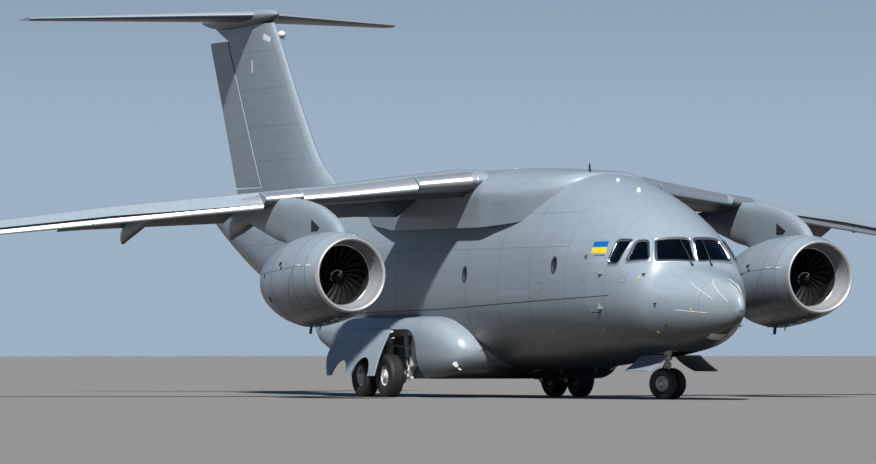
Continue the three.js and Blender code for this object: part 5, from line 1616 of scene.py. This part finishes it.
# %% Hatches
HATCHES = [  # X, Z, half length, half height
    (11.96, 2.08, .07, .035), (11.8, 3.31, .05, .03), (11.79, 2.78, .04, .06), (9.6, 2.6, .16, .1),
    (7.2, 2.62, .12, .08), (-4.3, 3.1, .18, .12), (-7.2, 4.0, .15, .1), (13.35, 2.75, .09, .06),
    (9.9, 1.6, .14, .08), (12.3, 1.62, .1, .07),
]
for name, side in SIDES:
    outlines = [rectangle(*row) for row in HATCHES]
    covers = [plate("hatch", on_body(side), corners, (row[0], 0, WAIST), .0035)
              for corners, row in zip(outlines, HATCHES)]
    rims = [line_on(on_body(side, .001), corners + corners[:1], 40) for corners in outlines]
    placed(joined("hatches_" + name, *covers), PLAIN)
    placed(tube("hatch_seams_" + name, rims, .0035), SEAL)

# %% [markdown]
# The radome can't be metal, because it must let waves through, so strips on it lead lightning back to the
# body. Probes stand off the nose on short stalks, and yellow dots mark points for the ground crew.

# %% Radome strips, probes and dots
STRIPS = [[(15.02, 2.66), (15.75, 2.29)], [(15.38, 2.76), (16.16, 2.24)], [(14.79, 2.05), (15.61, 1.98)]]
PROBES = [(13.9, 2.88), (14.44, 1.69), (11.79, 3.31), (14.3, 2.2)]
DOTS = ((13.8, 2.8), (15.2, 2.07), (14.1, 1.55))
for name, side in SIDES:
    strips = [line_on(on_body(side, .002), strip) for strip in STRIPS]
    placed(tube("radome_strips_" + name, strips, .0075), WHITE)
    pieces = []
    for x, z in PROBES:
        root = np.array(on_body(side)(x, z))
        pieces.append(rod("stalk", root - (0, .03 * side, 0), root + (0, .05 * side, 0), .02, .014))
        pieces.append(rod("probe", root + (-.03, .05 * side, 0), root + (.1, .05 * side, .01), .012, .007))
    placed(joined("probes_" + name, *pieces), SEAL, "engine_steel")
    dots = [plate("dot", on_body(side), rectangle(x, z, .02, .02), FORWARD_INSIDE) for x, z in DOTS]
    placed(joined("yellow_dots_" + name, *dots), FLAG_YELLOW)

# %% [markdown]
# A lamp lies flush under the chin, and one more strip runs along the radome's top. The wipers are arms on
# spindles below the front windows, with their blades resting beside the middle post.

# %% Chin lamp and wipers
CHIN_LAMP = [(14.95, .2), (15.08, -.22), (15.4, -.25), (15.52, .05)]
WIPERS = (((14.3, -.2, 3.09), (13.77, -.28, 3.66)), ((14.27, .3, 3.09), (13.75, .29, 3.66)))


def on_belly(x, y):
    half, _, bottom, widest = body_at(x)[0]
    return (x, y, widest - (widest - bottom) * (1 - (abs(y) / half) ** SECTION_POWER) ** (1 / SECTION_POWER))


placed(plate("chin_lamp", on_belly, CHIN_LAMP, (15.2, 0, 2)), LENS, "bare_metal")
top_line = [(x, 0, body_at(x)[0][1] + .001) for x in np.linspace(15.8, 16.22, 12)]
placed(tube("middle_strip", [top_line], .0075), WHITE)
wipers = []
for ends in WIPERS:
    foot, tip = (Vector(end) for end in ends)
    up = Vector((.035, 0, .03))
    wipers.append(rod("arm", foot, foot + (tip - foot) * .55 + up, .013, .009))
    wipers.append(rod("blade", foot + (tip - foot) * .2 + up * .8, tip + up * .8, .009, .008))
    wipers.append(rod("spindle", foot - Vector((.04, 0, .04)), foot + Vector((.02, 0, .02)), .025))
placed(joined("wipers", *wipers), SEAL, "engine_steel")

# %% [markdown]
# Aerials are small swept blades above and below the body. Lamps are low domes: here each is a rod with a
# narrow end. In each side of the wing's fairing a dark block, painted shade, stands for an inlet's unlit
# opening.

# %% Aerials and lamps
AERIALS = [(9.25, -.4, 5.25, .3, .16, 1), (8.2, .25, .76, .16, .2, -1), (6.8, 0, .72, .14, .2, -1)]
TOP_LAMPS = ((5.45, -.62, 5.44), (10.46, -.28, 5.1), (11.45, -.21, 4.86), (5.45, .62, 5.44))
SPONSON_LAMPS = ((5.2, 2.1, .8), (5.17, 1.98, .73))
INLET = ((5.12, 4.72), (5.14, 4.93), (5.42, 4.84))


def blade_aerial(name, x, y, foot, height, length, up):
    """A swept blade: sections that shrink and lean back with height."""
    rows = []
    for share in np.linspace(0, 1, 8):
        pairs = foil(length * (1 - .55 * share), .16, .002, 10)
        z = foot + up * (height * share - .02)
        rows.append([(x - share * length * .5 - b, y + t, z) for b, t in pairs])
    return lay(name, rows)


placed(joined("blade_aerials", *[blade_aerial("aerial", *row) for row in AERIALS]), SEAL)
domes = [rod("beacon", (x, y, z - .05), (x, y, z + .05), .06, .035, 24) for x, y, z in TOP_LAMPS]
placed(joined("top_lamps", *domes), WHITE, "bare_metal")
for name, side in SIDES:
    # Painted shade: a dark block flush with the fairing stands in for the unlit inside of the inlet.
    half = float(FAIRING(5.3)[0][0])
    ends = [[(x, (half + t) * side, z) for x, z in INLET] for t in (-.3, -.005)]
    placed(lay("fairing_inlet_shade_" + name, ends), SEAL)
    lenses = [rod("lens", (x - .12, y * side, z + .02), (x + .05, (y + .01) * side, z - .01), .075, .065, 24)
              for x, y, z in SPONSON_LAMPS]
    placed(joined("sponson_lamps_" + name, *lenses), LENS, "bare_metal")

# %% [markdown]
# The engines' fittings: seams round the cowl where its doors open, latches, vents and a drain under it, and
# dark plates on the sides of the pylon, painted shade for its unlit inlets. The same tables serve both flanks
# of both engines.

# %% Marks and fittings on the engines
COWL_HOOPS = (7.78, 7.2, 5.98, 4.95)
VENTS = [(6.38, 20, .07, 2.5), (6.5, 14, .05, 2), (5.6, -24, .1, 4), (5.3, 8, .06, 3)]  # X, angle, half sizes
LATCHES = (7.6, 7.35, 6.9, 6.3, 5.7, 5.2)
DASHES = (7.47, 7.88)
PYLON_INLET = [(6.25, 4.22), (6.25, 3.93), (6.62, 3.93), (6.75, 4.02)]


def on_pylon(side, way):
    def surface(x, z):
        half, top, low = PYLON(x)[0]
        share = min(abs(z - (top + low) / 2) / ((top - low) / 2), .999) ** 1.25
        return (x, ENGINE_Y * side + way * half * (1 - share * share) ** .31, z)
    return surface


def drain_mast(side):
    """A blade under the cowl, and a drain pipe ahead of it."""
    x, y, z = low = np.array(on_cowl(side)(5.9, -90))
    section_pairs = foil(.16, .2, .002, 10)
    rows = [[(x - b - .05 * share, y + t, z + .04 - .2 * share) for b, t in section_pairs]
            for share in np.linspace(0, 1, 6)]
    return lay("mast", rows), rod("drain", low + (.5, 0, .05), low + (.44, 0, -.07), .018, .014)


for name, side in SIDES:
    centre = (LIP_X - 1.5, ENGINE_Y * side, ENGINE_Z)
    seams, dark, pale = [], [], []
    for way in (1, -1):
        cowl = on_cowl(side, way)
        seams += [line_on(cowl, [(x, -89), (x, 89)], 48) for x in COWL_HOOPS]
        seams += [line_on(cowl, [(7.78, angle), (4.75, angle)], 40) for angle in (12, -48)]
        seams += [line_on(cowl, [(7.2, 12), (6.6, -48)], 20)]
        dark += [plate("vent", cowl, rectangle(*row), centre, .002) for row in VENTS]
        # Painted shade: a dark plate on the pylon stands in for the unlit inside of its inlet.
        dark.append(plate("inlet", on_pylon(side, way), PYLON_INLET, (6.5, ENGINE_Y * side, 4.1), .003))
        pale += [plate("dash", cowl, rectangle(x, 13.3, .09, .7), centre) for x in DASHES]
        pale += [plate("latch", cowl, rectangle(x, -84, .03, 2), centre, .008) for x in LATCHES]
    placed(tube("cowl_seams_" + name, seams, .004), SEAL)
    placed(joined("cowl_vents_" + name, *dark), SEAL)
    placed(joined("cowl_dashes_" + name, *pale), WHITE)
    placed(joined("drain_mast_" + name, *drain_mast(side)), SEAL, "engine_steel")

# %% [markdown]
# The fin carries pale patches, panel seams, and a pod on its edge with a probe beside it. Two lamps sit on
# the pod at its head, one on top and one at the rear.

# %% Fittings on the tail
WHITE_PATCHES = [[(-11.82, 9.3), (-11.4, 9.2), (-11.36, 9.32), (-11.78, 9.46)],
                 [(-12.56, 8.44), (-12.47, 8.44), (-12.47, 8.77), (-12.56, 8.77)]]
FIN_HOOPS = (6.1, 7.0, 8.0, 9.0)


def ball(name, centre, radius, stretch):
    """A ball drawn out along X."""
    turn = np.linspace(0, math.pi, 16)[1:-1]
    profile = [(radius * math.sin(t), -radius * stretch * math.cos(t)) for t in turn]
    return lay(name, rings(profile, centre, (1, 0, 0), 32))


def fin_lead(z, behind):
    return float(fin_at(z)[0][0]) - behind


for name, side in SIDES:
    fin_side = on_fin(side)
    patches = [plate("patch", fin_side, corners, (-12, 0, 9), .002) for corners in WHITE_PATCHES]
    placed(joined("fin_patches_" + name, *patches), WHITE)
    seams = [line_on(fin_side, [(fin_lead(z, .05), z), (hinge_x(z) + .06, z)], 20) for z in FIN_HOOPS]
    seams += [line_on(fin_side, [(fin_lead(z, .32), z) for z in np.linspace(5.8, 9.3, 12)], 40)]
    placed(tube("fin_seams_" + name, seams, .0018), SEAL)
edge_pod = ball("edge_pod", (-11.12, .1, 9.4), .1, 1.7)
stalk = rod("pod_stalk", (-11.2, 0, 9.4), (-11.2, .08, 9.4), .05)
placed(joined("fin_edge_pod", edge_pod, stalk), WHITE)
placed(rod("fin_probe", (-11.1, .1, 9.3), (-10.9, .1, 9.26), .014, .008), SEAL, "engine_steel")
rear_lamp = rod("rear", (-16.38, 0, 9.92), (-16.46, 0, 9.92), .035, .025)
top_lamp = rod("top", (-12.9, 0, 10.08), (-12.9, 0, 10.13), .06, .04, 24)
placed(joined("tail_lamps", rear_lamp, top_lamp), WHITE, "bare_metal")

# %% [markdown]
# An aircraft gathers charge as it flies, and thin wicks on the trailing edges let it go. Lamps sit at the
# wing's tips, and small pods under the wing hide the aileron's hinges.

# %% Wicks, wing lamps and hinge pods
def wicks(name, body, tips, length=.14):
    ends = [(np.array(tip) + (.03, 0, 0), np.array(tip) - (length, 0, 0)) for tip in tips]
    pieces = [rod("wick", root, end, .006, .004, 8) for root, end in ends]
    placed(joined(name, *pieces), SEAL, body=body)


def tail_edge(station, side):
    x, z, chord, _ = between_rows(TAILPLANE, station)
    return (x - chord, station * side, z)


for name, side in SIDES:
    wicks("aileron_wicks_" + name, f"aileron_{name}_body",
          [wing_spot(s, .995, side) for s in (10.8, 11.5, 12.2, 12.9)])
    wicks("elevator_wicks_" + name, f"elevator_{name}_body",
          [tail_edge(s, side) for s in (1.2, 2.2, 3.2)], .1)
    lamp = np.array(wing_spot(14.24, .04, side))
    placed(ball("wing_lamp_" + name, lamp - (.02, 0, .02), .035, 2), LENS, "bare_metal")
    spots = [np.array(wing_spot(station, .66, side, True)) for station in (11.0, 12.0, 13.0)]
    hinges = [ball("hinge", at - (.02, 0, 0), .04, 3.2) for at in spots]
    placed(joined("aileron_hinges_" + name, *hinges), WING_PAINT)

# %% [markdown]
# The doors hang on lugs: at each pin one lug belongs to the door and the one beside it to the aircraft. A
# lug is the hull round a circle at the pin and a few corners on its part, so it is tapered without being
# drawn.

# %% Hinges of the doors and the ramp
LUG_RADIUS = .018
CREW_PIN, SERVICE_PIN, RAMP_PIN, AFT_PIN = (1.83, 2.005), (12.535, -1.75), (-3.03, .867), (-10.295, 3.05)


def lug(start, end, pin, corners, axis):
    """A flat lug round a pin. Its outline lies across the given axis."""
    eye = [(pin[0] + LUG_RADIUS * math.cos(t), pin[1] + LUG_RADIUS * math.sin(t)) for t in circle(12)]
    faces = [[np.insert(np.array(p, float), axis, at) for p in eye + corners] for at in (start, end)]
    piece = lay("lug", faces)
    return edit(piece, lambda: bpy.ops.mesh.convex_hull())


def hinge(name, body, pin, places, axis, moving, fixed):
    """Pairs of lugs along a hinge. moving and fixed are functions that give a lug's corners at a place."""
    ways = [-1 if at < 0 else 1 for at in places]
    halves = (("lugs", body, moving, 0, .06), ("brackets", "airframe", fixed, -.06, -.002))
    for label, owner, shape, start, end in halves:
        pieces = [lug(at + start * way, at + end * way, pin, shape(at), axis)
                  for at, way in zip(places, ways)]
        placed(joined(name + "_" + label, *pieces), PLAIN, body=owner)


def crew_corners(steps):
    return lambda x: [(skin_half(x, 2.05) + out, z) for out, z in steps]


def service_corners(steps):
    return lambda z: [(x, -skin_half(12.5, z) + out) for x, out in steps]


hinge("crew_door", "crew_door_body", CREW_PIN, (11.48, 11.96), 0,
      crew_corners([(-.02, 2.014), (-.03, 2.08), (.008, 2.08)]),
      crew_corners([(-.03, 1.99), (-.03, 1.9), (-.01, 1.9)]))
hinge("service_door", "service_door_body", SERVICE_PIN, (2.15, 2.95), 2,
      service_corners([(12.524, .025), (12.465, .025), (12.465, -.012)]),
      service_corners([(12.552, .025), (12.62, .045), (12.62, 0)]))
hinge("ramp", "ramp_body", RAMP_PIN, (-.45, .45), 1,
      lambda y: [(-3.045, .89), (-3.11, .925), (-3.11, .89)],
      lambda y: [(-2.995, .88), (-2.93, .87), (-2.93, .835)])
hinge("aft_door", "aft_door_body", AFT_PIN, (-.35, .35), 1,
      lambda y: [(-10.275, 3.015), (-10.19, 3.0), (-10.19, 3.03)],
      lambda y: [(-10.33, 2.995), (-10.4, 2.975), (-10.4, 3.035)])

# %% [markdown]
# On the main legs: brakes inside the wheels with their arms and hydraulic lines, thicker joints on the
# struts, and a rod that ties the two struts.

# %% Fittings on the main legs
for name, side in SIDES:
    y = LEG_Y * side
    fittings, brakes = [], []
    for _, x in MAIN_WHEELS:
        inner_end, outer_end = ((x, reach * side, MAIN_RADIUS) for reach in (2.16, 2.335))
        brakes.append(rod("brake", inner_end, outer_end, .19, .17, 40))
        brakes.append(rod("line", (x + .1, 2.15 * side, .6), (x + .27, y + .07 * side, 1.2), .012))
        fittings.append(rod("joint", (x + .24, y, .84), (x + .26, y, 1.02), .105, sides=32))
        fittings.append(rod("cuff", (x + .3, y, 1.24), (x + .31, y, 1.3), .1, sides=32))
        fittings.append(block("brake_arm", (x - .03, y - .03, .42), (x + .16, y + .03, .5), .012))
    fittings.append(rod("tie", (.62, y, 1.31), (2.5, y, 1.19), .03))
    placed(joined("main_brakes_" + name, *brakes), STEEL, "engine_steel")
    placed(joined("main_leg_fittings_" + name, *fittings), LEG, "leg_paint")

# %% [markdown]
# The nose leg carries three lamps on a bracket, and the actuator that steers it.

# %% Fittings on the nose leg
LEG_LAMPS = ((-.13, 1.3), (.13, 1.3), (0, 1.45))
lamps = [rod("lamp", (12.63, y, z), (12.75, y, z - .01), .062, .07, 32) for y, z in LEG_LAMPS]
placed(joined("nose_leg_lamps", *lamps), LENS, "bare_metal")
bracket = [block("bracket", (12.58, -.16, 1.27), (12.65, .16, 1.33), .015),
           block("bracket_top", (12.58, -.04, 1.4), (12.65, .04, 1.5), .015),
           rod("actuator", (12.5, .12, 1.05), (12.5, .12, 1.5), .035),
           rod("rod", (NOSE_LEG_X, -.1, .96), (NOSE_LEG_X, .1, .96), .05)]
placed(joined("nose_leg_fittings", *bracket), STEEL, "engine_steel")

# %% [markdown]
# Inside, the floors and the pilots' desk keep their solids with a lining material.

# %% Floors and desk
for label in ("flight_deck", "cargo_floor"):
    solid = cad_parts[label]
    solid.data.materials.clear()
    solid.data.materials.append(LINING)
    print(label, "keeps its solid")

# %% [markdown]
# The pilots' seats are cushions on a shell. A cushion is a finely divided block whose faces swell most in
# the middle, with its edges rounded.

# %% Pilots' seats
CUSHION_CUTS, CUSHION_EDGE, LEAN = 9, .03, -.16


def cushion(name, low, high, crown, lean=0.0):
    """A padded block: its faces swell and its sides pull in between the corners."""
    piece = block(name, low, high)
    edit(piece, lambda: bpy.ops.mesh.subdivide(number_cuts=CUSHION_CUTS))
    co = np.zeros(len(piece.data.vertices) * 3, np.float32)
    piece.data.vertices.foreach_get("co", co)
    p = co.reshape(-1, 3).astype(float)
    middle, half = (np.array(low) + np.array(high)) / 2, (np.array(high) - np.array(low)) / 2
    q = (p - middle) / half
    for axis in range(3):
        first, second = (a for a in range(3) if a != axis)
        bulge = (1 - q[:, first] ** 2) * (1 - q[:, second] ** 2)
        p[:, axis] += np.where(np.abs(q[:, axis]) > .99, np.sign(q[:, axis]) * crown * (bulge - .6), 0)
    p[:, 0] += lean * (p[:, 2] - low[2])
    piece.data.vertices.foreach_set("co", p.astype(np.float32).ravel())
    modified(piece, "BEVEL", width=CUSHION_EDGE, segments=3, limit_method="ANGLE", angle_limit=.9)
    modified(piece, "SUBSURF", levels=1)
    return placed(piece, SEAT, "seat_cover")


for name, side in SIDES:
    y = .52 * side
    seat = "pilot_seat_" + name
    post = rod(seat + "_post", (12.93, y, 2.0), (12.93, y, 2.36), .14, .12, 32)
    placed(post, LEG, "leg_paint", replaces=[seat])
    placed(block(seat + "_shell", (12.52, y - .23, 2.36), (12.6, y + .23, 3.15), .03), LINING, "cabin_lining")
    cushion(seat + "_cushion", (12.71, y - .23, 2.33), (13.17, y + .23, 2.44), .02)
    cushion(seat + "_back", (12.62, y - .2, 2.45), (12.72, y + .2, 2.98), .02, LEAN)
    cushion(seat + "_headrest", (12.55, y - .13, 3.0), (12.64, y + .13, 3.14), .015, LEAN)
print(len(MADE), "pieces in all")
